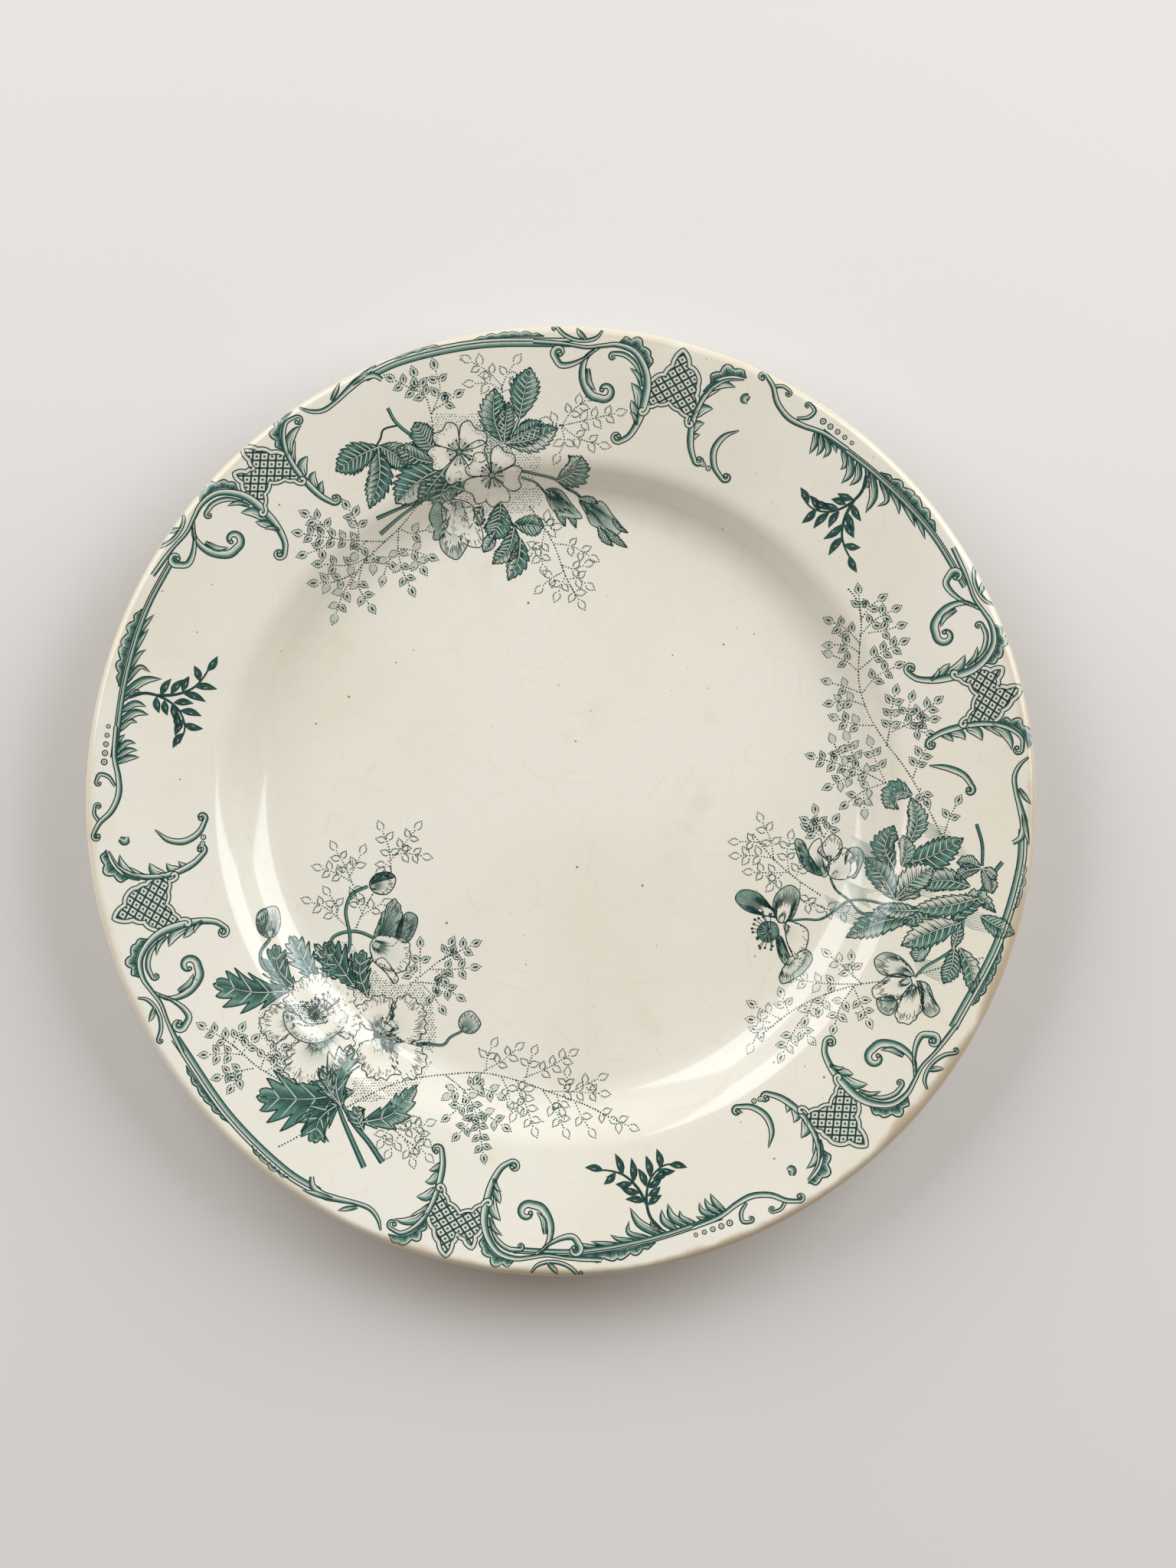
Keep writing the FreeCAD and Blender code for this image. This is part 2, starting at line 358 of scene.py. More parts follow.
def leaf(film, points, width, teeth=9, depth=0.26, tones=(0.3, 0.8), lean=0.34, gap=0.55, widest=0.7):
    """A leaf along its midrib, from base to tip; tones gives the ink on its left and right halves."""
    line = curve(points, step=0.32)
    t = along(line)
    ahead = np.gradient(line, axis=0)
    ahead /= np.linalg.norm(ahead, axis=1)[:, None]
    peak = widest / (widest + BLUNT)
    shape = (t / peak) ** widest * ((1 - t) / (1 - peak)) ** BLUNT
    for side, tone in ((1, tones[0]), (-1, tones[1])):
        saw = (t * teeth + (0.0 if side > 0 else 0.4)) % 1
        reach = (width / 2 * shape * (1 - depth + depth * 1.4 * saw))[:, None]
        edge = line + sideways(line) * side * reach + ahead * reach * lean * 2
        edge[-1] = line[-1]
        shares = (0, 0.3, 0.65, 1)
        fade = (1.12 - 0.5 * t)[:, None]
        across = np.clip(np.array([[1.1, 0.9, 0.55, 0.75]]) * tone * fade, 0, 1)
        film.sheet(np.stack([blend(line, edge, share) for share in shares], 1), across, 0.0)
        stroke(film, edge, 0.34, 1.0, 0.4)
        hatch = 0.93 if tone > 0.5 else 0.62
        step = max(1, round(gap / 0.32))
        for k in range(2, len(line) - 2, step):
            end = blend(line[k], edge[k], hatch * random.uniform(0.75, 1.05))
            middle = blend(line[k], end, 0.5) + ahead[k] * 0.1
            stroke(film, [line[k], middle, end], [0.24, 0.16, 0.04], 1.0, 0.2)
        for k in np.linspace(3, len(line) - 4, teeth).astype(int):
            end = blend(line[k], edge[k], 0.88)
            light = tone > 0.5
            vein = [line[k], blend(line[k], end, 0.5), end]
            stroke(film, vein, [0.3, 0.24, 0.1], 0.12 if light else 1.0, 0.3)
    stroke(film, line, [0.62, 0.5, 0.2], 1.0, 0.5)
    stroke(film, line[: int(len(line) * 0.9)], [0.3, 0.2, 0.05], 0.15, 0.6)


def leaves(film, rows):
    """Several leaves, each given as its points, its width and the ways it differs."""
    for points, width, how in rows:
        leaf(film, points, width, **how)


# %% [markdown]
# A petal hides what is behind it, so it starts with a bare ground. Its outline is a closed curve,
# ragged where the flower is a poppy. The hatching starts from a root that is given for each petal,
# because the real petals cup and fold, and the lines follow that.

# %% Petals and stems
def petal(film, points, root, base=0.5, edge=0.0, tones=(0.3, 0.08, 0.0, 0.0), frill=0.0, gap=0.55):
    """A petal: its outline's points, the root that its hatching fans from, and how far that runs."""
    outline = curve(points, closed=True, step=0.4)
    if frill:
        t = along(outline)
        beat = length_of(outline) / 2.3
        far = np.clip(np.linalg.norm(outline - np.array(root), axis=1) / 5 - 0.5, 0, 1)
        wave = np.sin(2 * math.pi * beat * t) + 0.6 * np.sin(2 * math.pi * beat * 0.43 * t + 1)
        outline = outline + sideways(outline) * (frill * wave * far)[:, None]
    ground(film, outline, root, 0.6 * np.array(tones), 0.0)
    if base:
        rays(film, outline, root, 0.18, base, gap * 1.5, 0.17, 1.0)
    if edge:
        rays(film, outline, root, 1 - edge, 0.99, gap * 0.8, 0.22, 1.0)
    stroke(film, np.vstack([outline, outline[:2]]), 0.27, 1.0, 0.5)


def stem(film, points, width=0.8, tone=0.45):
    """A stem with dark sides, or a single line where it is thin."""
    line = curve(points)
    if np.max(width) > 0.55:
        stroke(film, line, width, 1.0, 0.0)
        stroke(film, line + sideways(line) * 0.08, np.array(width) * 0.45, tone, 0.2)
    else:
        stroke(film, line, width, 1.0, 0.0)


# %% [markdown]
# A wild rose is five heart-shaped petals round a crown of stamens. One heart, turned and scaled,
# makes all five, so a rose is a short list of angles and sizes.

# %% Stamens and the wild rose
def stamens(film, centre, reach, count=14, start=0.0, sweep=360.0, knob=0.62, eye=1.4):
    """A ring of stamens, each a thread that ends in a dark anther."""
    centre = np.array(centre)
    for k in range(count):
        angle = math.radians(start + sweep * k / count + random.uniform(-6, 6))
        way = np.array([math.cos(angle), math.sin(angle)])
        out = reach * random.uniform(0.78, 1.08)
        stroke(film, [centre + way * eye * 0.4, centre + way * out * 0.6, centre + way * out], 0.17, 1.0,
            0.7)
        film.spot(centre + way * out, knob, 1.0, 0.8)
    film.spot(centre, eye, 1.0, 0.8, sides=10)
    film.spot(centre, eye * 0.66, 0.3, 0.9, sides=8)
    film.spot(centre, eye * 0.25, 1.0, 1.0)


HEART = [(0.1, 0.05), (0.42, 0.33), (0.74, 0.5), (0.98, 0.36), (0.9, 0.02),
         (1.0, -0.3), (0.78, -0.5), (0.44, -0.35), (0.1, -0.05)]


def wild_rose(film, centre, petals):
    """Heart-shaped petals, each (angle, length, width), round a crown of stamens."""
    centre = np.array(centre)
    for angle, length, width in petals:
        out = np.array([math.cos(math.radians(angle)), math.sin(math.radians(angle))])
        side = np.array([-out[1], out[0]])
        points = [centre + out * u * length + side * v * width for u, v in HEART]
        petal(film, points, centre, base=0.0, tones=(0.22, 0.1, 0.0, 0.0, 0.1))
        outline = curve(points, closed=True)
        rays(film, outline, centre, 0.2, 0.5, 1.5, 0.13)
        rays(film, outline, centre, 0.9, 0.98, 0.8, 0.16)
        film.layer += 0.02
    stamens(film, centre, 3.1, 15, random.uniform(0, 20))


# %% [markdown]
# Behind the flowers lie feathery ferns. The engraver drew them with dots alone, which keeps them
# faint, so a leaflet here is two rows of dots, and a frond sets leaflets in pairs on a stalk.

# %% Ferns
PLUMP = 1.22


def leaflet(film, base, angle, size, dark):
    """A lens of dots, with a dark heart if the fern is a dark one."""
    way = np.array([math.cos(angle), math.sin(angle)])
    side = np.array([-way[1], way[0]])
    width = size * 0.29
    t = np.linspace(0, 1, 7)
    bulge = np.sin(math.pi * t**0.85) * width
    rims = [[base + way * size * (0.08 + 0.92 * u) + side * b * w for u,
        b in zip(t, bulge)] for w in (1, -1)]
    if dark:
        film.sheet(np.stack(rims, 1), dark * 0.12, 0.0)
        film.spot(base + way * size * 0.54, size * 0.2, 1.0, 0.4, length=size * 0.48, turn=angle)
    for rim in rims:
        for place in rim[1:]:
            film.spot(place, 0.42, 0.85 + 0.15 * min(1, dark), 0.3, sides=5)


def frond(film, points, size=2.5, dark=1.0, start=0.3):
    """A dotted stalk with leaflets along both sides and one at its end."""
    size = size * PLUMP
    line = curve(points)
    dotted(film, line, 0.44, 0.66, 0.95 if dark else 0.75, 0.2)
    share = along(line)
    count = max(1, int(length_of(line) * (1 - start) / (size * 0.92)))
    for k in range(count):
        t = start + (1 - start) * (k + 0.3) / count
        place, after = [np.array([np.interp(at, share, line[:, axis]) for axis in (0, 1)])
                        for at in (t, min(1, t + 0.05))]
        heading = math.atan2(*(after - place)[::-1])
        for side in (1, -1):
            angle = heading + side * math.radians(random.uniform(48, 66))
            leaflet(film, place, angle, size * random.uniform(0.88, 1.08), dark)
    heading = math.atan2(*(line[-1] - line[-3])[::-1])
    leaflet(film, line[-1], heading, size * 1.1, dark)


def fern(film, stalk, fronds, size=2.5, dark=1.0):
    """A main stalk of dots with fronds that spring from it."""
    if stalk:
        dotted(film, curve(stalk), 0.48, 0.74, 0.95, 0.2)
    for points in fronds:
        frond(film, points, size, dark)

# %% [markdown]
# ## The border
#
# Six scrolled groups stand round the rim, of two kinds that take turns, and rails join them. Each
# is drawn once in degrees and millimetres: how far round from the group's middle, and how far out
# from the plate's centre. The paper print was laid on a millimetre off centre, as they often are.

# %% Placing a drawing round the rim
SLIP = np.array([0.0, 1.0])
SLIM = 0.8
FULL = 1.4


class Rim:
    """Turns (degrees from a middle, millimetres out) into places on the plate."""

    def __init__(self, film, middle, rise=0.0):
        self.film = film
        self.middle = middle
        self.rise = rise

    def at(self, points):
        """The places of a list of (degrees, millimetres)."""
        points = np.array(points, float)
        angle = np.radians(self.middle + points[:, 0])
        reach = points[:, 1] + self.rise
        return np.stack([reach * np.cos(angle), reach * np.sin(angle)], 1) + SLIP

    def scroll(self, points, widths, **how):
        scroll(self.film, self.at(points), np.array(widths) * SLIM, **how)

    def lobe(self, points, width, **how):
        lobe(self.film, self.at(points), width * FULL, **how)

    def shell(self, points, height, lobes, **how):
        shell(self.film, self.at(points), height, lobes, **how)

    def stroke(self, points, width, **how):
        stroke(self.film, curve(self.at(points)), width, **how)

    def ring(self, place, size=1.5):
        """A bead: a small circle with a dot in it."""
        centre = self.at([place])[0]
        self.film.spot(centre, size, 1.0, 0.5, sides=12)
        self.film.spot(centre, size * 0.62, 0.1, 0.7, sides=10)
        self.film.spot(centre, size * 0.25, 1.0, 0.9)


# %% [markdown]
# In the middle of each group stands a panel of net, like a window in the scrollwork. It could be
# a texture, but it is drawn, so that its lines stop at the carved frame. Every line of the net
# is cut to the stretch that lies inside the panel, and every mesh has a dot.

# %% The trellis panel in the middle of each group
TRELLIS = 1.95
PANELS = {
    "broad": {
        "top": [(3.5, 105.6), (3.0, 108.2), (1.7, 109.9), (1.0, 112.4), (0.2, 116.9), (-1.1, 113.4),
            (-2.5, 111.9),
                (-2.9, 109.4), (-3.1, 107.0), (-3.7, 105.0)],
        "foot": [(-3.1, 99.5), (-2.9, 101.4), (-1.5, 102.2), (0.2, 103.4), (1.8, 102.2), (2.9, 101.2),
            (3.2, 99.3)],
    },
    "twin": {
        "top": [(4.3, 107.6), (3.5, 109.3), (2.9, 111.0), (2.8, 114.0), (1.6, 112.2), (0.6, 111.4),
            (0.3, 113.8),
                (-0.1, 117.3), (-1.4, 114.4), (-2.4, 111.6), (-3.5, 109.4)],
        "foot": [(-2.9, 100.8), (-2.4, 102.6), (-1.5, 104.4), (0.3, 106.3), (1.9, 105.0), (3.0, 103.0),
            (3.6, 101.6)],
    },
}


def trellis(rim, panel):
    """A frame of two dark lines, filled with a diamond net that has a dot in every mesh."""
    film = rim.film
    top = scalloped(rim.at(panel["top"]), 0.12)
    foot = scalloped(rim.at(panel["foot"]), 0.12)
    outline = np.vstack([top, foot])
    band(film, top, 1.35, lift=0.2, tones=(0.15, 0.06, 0.06))
    curled = wind(wind(foot, 0.85, -1, 0.7)[::-1], 0.85, 1, 0.7)
    band(film, curled, 1.2, lift=0.8, tones=(0.15, 0.06, 0.06))
    middle, out = rim.at([(0, 108), (0, 109)])
    up = out - middle
    across = np.array([up[1], -up[0]])
    ways = [(up + across * 1.1) / 1.49, (up - across * 1.1) / 1.49]
    cells = np.arange(-7, 8)
    for ahead, beside in (ways, ways[::-1]):
        for start in middle + np.outer(cells * TRELLIS, beside):
            line = start + np.outer(np.arange(-14, 14, 0.3), ahead)
            kept = inside(line, outline)
            for run in np.split(np.arange(len(line)), np.flatnonzero(np.diff(kept.astype(int))) + 1):
                if kept[run[0]] and len(run) > 3:
                    stroke(film, line[run[::3].tolist() + [run[-1]]], 0.48, 1.0, 0.0)
    for i in cells:
        for place in middle + ways[0] * (i + 0.5) * TRELLIS + np.outer((cells + 0.5) * TRELLIS, ways[1]):
            if inside(place, outline)[0]:
                film.spot(place, 1.9, 0.1, -0.3, sides=4)
                film.spot(place, 0.66, 1.0, 0.1)


# %% [markdown]
# Left of the panel an arch springs up, hooks over and ends in a curl, and right of it stands a
# stem with leaves. The two kinds of group share the left half and differ in the right.

# %% One group of scrolls: the left half
def left_half(rim):
    """The arch with its hook, its shell and the leaves on the rail's end."""
    rim.scroll([(16.4, 111.5), (15.6, 109.2), (14.2, 109.3), (12.2, 111.3), (11.2, 113.3)],
        [1.2, 2.4, 2.2, 1.5, 0.8],
               start=(1.5, -1, 0.8), shade=-1, lift=0.5)
    rim.scroll([(10.6, 114.0), (12.2, 111.2), (12.6, 106.5), (11.3, 102.0), (9.6, 101.2)],
               [1.0, 1.8, 2.6, 2.9, 2.5, 1.6], end=(2.1, 1, 0.8), shade=1, lift=0.5)
    rim.lobe([(11.9, 108.5), (11.6, 105.0), (10.6, 103.0)], 1.2, lift=0.9)
    rim.scroll([(19.0, 115.2), (15.0, 114.4), (12.2, 113.7), (10.2, 114.4), (8.4, 115.0), (6.2, 114.0),
        (4.6, 110.8),
                (3.7, 106.8), (3.6, 101.5), (3.9, 97.0), (4.9, 92.9), (6.2, 91.2)],
               [1.6, 1.7, 1.3, 1.4, 1.6, 2.0, 2.2, 2.5, 2.8, 2.6, 2.2, 1.9, 1.2], end=(1.35, -1, 0.8),
               shade=1, lift=0.6)
    rim.lobe([(4.1, 100.4), (4.7, 104.0), (5.9, 106.2)], 1.9, lift=0.4)
    rim.lobe([(4.1, 98.0), (5.0, 100.4), (5.5, 102.0)], 1.5, lift=0.5)
    rim.lobe([(4.0, 96.0), (4.6, 98.2), (5.4, 99.0)], 1.0, lift=0.6)
    rim.scroll([(4.6, 107.8), (5.9, 111.2), (7.4, 112.8), (8.8, 112.8)], [0.8, 1.8, 1.8, 0.9],
        end=(0.9, 1, 0.7), lift=0.4, eye=0.6)
    rim.lobe([(4.4, 105.6), (5.2, 108.4), (6.4, 109.8)], 1.0, lift=0.7)
    rim.shell([(8.2, 115.6), (6.2, 115.0), (4.8, 112.9), (4.0, 110.2)], [1.6, 2.7, 2.4, 1.6], 4)
    rim.scroll([(16.0, 118.6), (15.2, 116.8), (13.8, 115.5), (12.2, 115.4), (11.0, 116.4), (10.4, 118.2)],
               [1.0, 1.5, 1.5, 1.4, 1.5, 0.8], start=(0.7, 1, 0.6), shade=-1, eye=0.6)
    rim.lobe([(12.4, 115.6), (13.2, 117.2), (13.6, 118.5)], 1.1, lift=0.5)


# %% One group of scrolls: the right half
def right_half(rim, kind):
    """The stem to the right of the panel, with its leaves and its shell."""
    if kind == "twin":
        points = [(-4.7, 92.2), (-3.9, 95.5), (-3.5, 101.5), (-3.7, 107.0), (-4.6, 112.0), (-6.2, 115.2),
            (-7.6, 115.0)]
        rim.scroll(points, [1.0, 1.9, 2.3, 2.1, 1.9, 1.8, 1.5, 1.0], start=(1.3, 1, 0.75),
            end=(1.2, -1, 0.75), shade=-1, lift=0.6)
        rim.shell([(-3.8, 110.2), (-4.6, 113.4), (-5.8, 115.6), (-7.6, 116.4)], [1.3, 2.6, 2.6, 1.6], 4)
    else:
        points = [(-6.2, 91.4), (-4.8, 94.5), (-3.9, 99.5), (-3.9, 104.5), (-4.6, 109.5), (-6.0, 113.0),
            (-8.2, 115.0)]
        rim.scroll(points, [1.0, 1.9, 2.3, 2.1, 1.9, 1.8, 1.2, 0.6], start=(1.2, 1, 0.75), shade=-1,
            lift=0.6)
        rim.shell([(-4.4, 111.0), (-5.4, 113.2), (-6.8, 114.8), (-8.4, 115.4)], [1.5, 2.9, 3.0, 1.6], 3)
    rim.lobe([(-4.0, 108.2), (-5.0, 110.8), (-6.4, 112.2), (-7.6, 112.4)], 1.7, shade=-1, lift=0.5)
    rim.lobe([(-3.8, 106.0), (-4.6, 108.6), (-5.8, 110.3)], 1.3, shade=-1, lift=0.4)
    rim.lobe([(-3.8, 102.0), (-4.6, 104.4), (-5.9, 105.4)], 1.9, shade=-1, lift=0.5)
    rim.lobe([(-3.9, 97.6), (-4.6, 100.4), (-5.5, 101.2)], 1.7, shade=-1, lift=0.4)
    rim.lobe([(-4.1, 95.4), (-4.8, 97.4), (-5.5, 98.2)], 1.2, shade=-1, lift=0.45)


def group(film, middle, kind):
    """One of the six groups."""
    rim = Rim(film, middle, rise=2.0 if kind == "twin" else 0.0)
    trellis(rim, PANELS[kind])
    left_half(rim)
    right_half(rim, kind)


# %% [markdown]
# Rails run along the lip from group to group. Over the flower sprays they are plain. Over the
# sprigs they carry beads and a shell, and pointed claws hang from them like a fringe.

# %% The plain rail, over a flower spray
def rail(rim, points, width=2.3):
    """A moulded rail: two dark lines with a pale groove between."""
    line = curve(rim.at(points), step=1.2)
    band(rim.film, line, width, shade=1, lift=0.2, tones=(0.6, 0.14, 0.08))
    stroke(rim.film, line + sideways(line) * 0.25, 0.34, 1.0, 0.35)


def plain_stretch(film, middle):
    """The rail over a flower spray, which starts in a swash."""
    rim = Rim(film, middle)
    rim.scroll([(-8.6, 118.4), (-9.4, 116.2), (-10.8, 114.6), (-12.8, 114.8), (-15.0, 116.0),
        (-17.0, 117.0), (-18.6, 116.4), (-19.3, 114.6)],
               [0.8, 1.5, 1.7, 1.6, 2.0, 2.6, 2.4, 1.5], shade=-1, lift=0.5)
    rim.lobe([(-15.6, 116.6), (-17.6, 117.6), (-19.4, 118.7)], 1.1, shade=-1, lift=0.6)
    rim.lobe([(-12.4, 115.6), (-13.6, 117.2), (-14.4, 118.6)], 1.0, lift=0.6)
    rail(rim, [(-17.5, 116.9), (-22.0, 117.3), (-32.0, 116.2), (-44.0, 114.8)], 2.4)
    rim.shell([(-21.6, 117.9), (-24.5, 117.7), (-27.6, 117.4)], [0.9, 1.5, 1.0], 4)
    rim.shell([(-31.6, 117.2), (-36.0, 116.7), (-40.4, 116.2)], [0.9, 1.6, 1.0], 6)


# %% The leafy rail, over a sprig
def leafy_stretch(film, middle):
    """The rail over a dark sprig, with its beads, claws and shell."""
    rim = Rim(film, middle)
    rim.scroll([(-10.4, 118.4), (-11.8, 116.6), (-13.2, 113.6), (-15.4, 111.7), (-17.6, 111.9),
        (-20.2, 113.2), (-24.0, 113.7)],
               [1.2, 1.7, 2.0, 2.1, 1.8, 1.7, 1.6], start=(1.0, 1, 0.7), shade=1, lift=0.5)
    rim.scroll([(-11.8, 116.4), (-12.9, 117.8), (-13.9, 117.6)], [1.4, 1.3, 0.9], end=(0.8, -1, 0.7),
        lift=0.4, eye=0.6)
    rim.scroll([(-16.4, 112.6), (-17.6, 114.4), (-17.8, 116.6), (-16.9, 117.4)], [1.0, 1.5, 1.4, 0.9],
        end=(0.75, 1, 0.6), lift=0.4, eye=0.6)
    for k in range(5):
        rim.ring((-19.4 - 1.12 * k, 115.6), 1.75 - 0.14 * k)
    rail(rim, [(-20.0, 113.4), (-30.0, 114.0), (-39.0, 114.9), (-47.0, 115.0)], 1.7)
    rim.shell([(-29.0, 114.8), (-33.6, 115.3), (-39.2, 115.7)], [1.2, 2.8, 1.6], 6, side=1)
    claws = [
        ((-19.4, 112.6), (-20.2, 109.6), (-20.4, 107.0), 1.3),
        ((-20.0, 112.8), (-21.2, 109.8), (-21.3, 107.6), 1.3),
        ((-20.6, 112.8), (-22.2, 110.4), (-22.2, 108.2), 1.2),
        ((-21.4, 113.0), (-22.6, 112.2), (-23.2, 111.2), 0.9),
        ((-23.4, 113.2), (-25.0, 110.6), (-25.0, 108.6), 1.3),
        ((-24.4, 113.2), (-26.2, 109.6), (-26.3, 106.2), 1.6),
        ((-26.0, 113.2), (-27.4, 110.0), (-27.3, 107.2), 1.4),
        ((-27.4, 113.2), (-29.0, 111.0), (-29.0, 109.2), 1.1),
        ((-28.0, 113.6), (-30.6, 109.4), (-31.5, 105.2), 1.7),
        ((-29.6, 113.6), (-32.2, 111.2), (-31.9, 108.4), 1.1),
        ((-31.4, 113.6), (-33.6, 112.6), (-34.6, 111.2), 1.1),
        ((-33.4, 114.0), (-35.8, 113.2), (-37.2, 112.4), 1.1),
        ((-35.6, 114.2), (-37.6, 113.6), (-39.2, 112.6), 1.0),
    ]
    for first, middle_point, tip, width in claws:
        rim.lobe([first, middle_point, tip], width, shade=-1, lift=0.0, tones=(0.9, 0.3, 0.08))


def loose_scroll(rim, points, shade=1):
    """A separate leafy C between two groups."""
    rim.scroll(points, [0.5, 1.9, 2.3, 2.1, 1.7, 1.2], end=(1.1, 1 if shade > 0 else -1, 0.75),
        shade=shade, lift=0.4)


# %% [markdown]
# Three forked sprigs hang in the bare parts of the rim. They are the darkest things on the plate:
# solid leaves with one nick of light. One sprig is drawn and set down three times.

# %% The dark sprigs
SPRIG_STEMS = [
    [(-28.0, 112.0), (-29.0, 108.5), (-29.1, 105.0), (-28.6, 101.5), (-27.6, 98.8), (-25.4, 96.8),
    (-23.0, 97.6)],
    [(-29.1, 105.2), (-30.0, 100.5), (-31.6, 97.0), (-33.8, 95.3), (-36.4, 94.8)],
]
SPRIG_LEAVES = [
    ((-28.9, 105.4), (-26.8, 103.8)), ((-28.7, 103.2), (-26.7, 101.7)), ((-28.5, 101.1), (-26.2, 99.7)),
    ((-27.5, 99.4), (-24.8, 98.0)), ((-26.6, 97.6), (-24.0, 98.9)), ((-24.6, 97.0), (-22.2, 99.0)),
    ((-26.0, 97.3), (-25.8, 92.3)), ((-27.8, 98.8), (-27.7, 93.3)), ((-28.7, 100.8), (-29.3, 96.0)),
    ((-29.3, 104.4), (-31.9, 103.0)), ((-29.8, 102.0), (-32.3, 100.1)), ((-30.6, 99.4), (-33.0, 98.9)),
    ((-30.4, 99.2), (-30.0, 93.1)), ((-31.8, 97.0), (-32.4, 91.3)), ((-32.8, 96.1), (-34.7, 98.6)),
    ((-34.6, 95.1), (-37.3, 94.0)),
]


def willow_leaf(film, base, tip, width=1.9):
    """A solid dark leaf with a nick of light down its middle."""
    base, tip = np.array(base), np.array(tip)
    bow = np.array([base[1] - tip[1], tip[0] - base[0]]) * 0.06 * random.choice((-1, 1))
    line = curve([base, blend(base, tip, 0.5) + bow, tip], step=0.5)
    half = spread([0.15, 0.62, 0.98, 1.0, 0.8, 0.45, 0.05], line)[:, None] * sideways(line) * width / 2
    film.sheet(np.stack([line - half, line, line + half], 1), [1, 0.92, 1], 0.8)
    film.spot(blend(base, tip, 0.5), 0.22, 0.25, 1.0, length=1.0, turn=math.atan2(*(tip - base)[::-1]))


def sprig(film, middle):
    """A forked sprig that hangs from the rail."""
    rim = Rim(film, middle)
    for stem in SPRIG_STEMS:
        rim.stroke(stem, [0.9, 0.7, 0.5, 0.4], lift=0.7)
    for base, tip in SPRIG_LEAVES:
        willow_leaf(film, *rim.at([base, tip]))


# %% [markdown]
# The two kinds of group take turns, a sixth of the way round from one to the next, though the
# strips of paper print were joined by hand and are a degree or two out.

# %% Drawing the whole border
FILMS = {}
TWIN_GROUPS = (132.5, 13.5, -104.0)
BROAD_GROUPS = (74.5, -49.0, -165.0)

FILMS["border_scrolls"] = border = Film()
FILMS["border_sprigs"] = sprigs = Film()
for middle in TWIN_GROUPS:
    group(border, middle, "twin")
    plain_stretch(border, middle)
for middle in BROAD_GROUPS:
    group(border, middle, "broad")
    leafy_stretch(border, middle)
    sprig(sprigs, middle)
    rim = Rim(border, middle)
    loose_scroll(rim, [(-10.4, 103.0), (-8.8, 100.0), (-8.3, 96.0), (-9.4, 92.2), (-11.4, 90.2)])
    rim.ring((-7.6, 91.6))
    rim.ring((-8.6, 91.2))
    rim.lobe([(-9.6, 112.0), (-9.2, 110.6), (-9.8, 109.8)], 1.6)
loose_scroll(Rim(border, 13.5), [(-8.6, 93.5), (-9.2, 98.0), (-10.4, 102.0), (-12.2, 104.2)], -1)

# %% [markdown]
# ## The three sprays
#
# Roses at the top, a loose spray with a stamened bloom at the right and ragged poppies at the
# lower left. Each is listed from the back to the front: shadows and ferns, leaves, then blooms.

# %% How dark a leaf's two halves are
DARK = {"tones": (0.95, 1.1)}
HALF = {"tones": (0.4, 1.05)}
PALE = {"tones": (0.3, 0.6)}
FLIP = {"tones": (1.05, 0.4)}

# %% The rose spray: ferns behind
FILMS["rose_ferns"] = film = Film()
fern(film, [(-32.3, 94), (-32.9, 98)], [
    [(-32.9, 98), (-34.5, 102.5), (-38.5, 104.5), (-41.6, 106)],
    [(-34.6, 102), (-36, 105), (-36.6, 106.6)],
    [(-32.6, 98), (-30.6, 104), (-31.6, 108.5)], [(-32, 99), (-29.5, 100.5), (-27.3, 102)]], 2.5, 1.0)
fern(film, [(-14.5, 98), (-15, 105)], [
    [(-15, 105), (-18.5, 108.5), (-22.5, 110.8)], [(-15.2, 104), (-18, 105.5), (-21.6, 105.5)],
    [(-15, 104.5), (-13.5, 108), (-12, 110.2)], [(-14.8, 103.5), (-12, 104.5), (-10.4, 106)]], 2.4, 0.0)
fern(film, [(-4, 95), (0.5, 95)], [
    [(0, 95), (6, 96.3), (13.5, 98)], [(0.3, 95.2), (2.6, 98.5), (6, 101.2)],
    [(0, 95), (0.8, 91), (-0.4, 88.2)],
    [(0.4, 94.6), (5, 91.6), (9.4, 90.4)], [(-0.2, 95.2), (-2.2, 95.8)]], 2.4, 0.0)
fern(film, [(-8, 75), (-4.2, 69.4), (-1.5, 64.5), (1, 57.5), (3.6, 52.5)], [
    [(-1.6, 65.6), (2.6, 65), (7, 62.6)], [(-4.2, 69.4), (-5.2, 63.5), (-4.8, 60.4)],
    [(-4.9, 65.6), (-7.2, 64)],
    [(0.4, 60), (3.2, 59.2), (5.6, 60)], [(0.6, 58.5), (-3, 56.5), (-4.6, 55)],
    [(1.5, 56.5), (4, 56.8), (6, 55.6)],
    [(-4.2, 69.4), (-3.9, 71.2)], [(-4.2, 69.4), (-2.6, 69.7)], [(1, 57.5), (-0.6, 53.6)],
    [(2.4, 54.8), (4.4, 51.4)]], 2.3, 0.0)
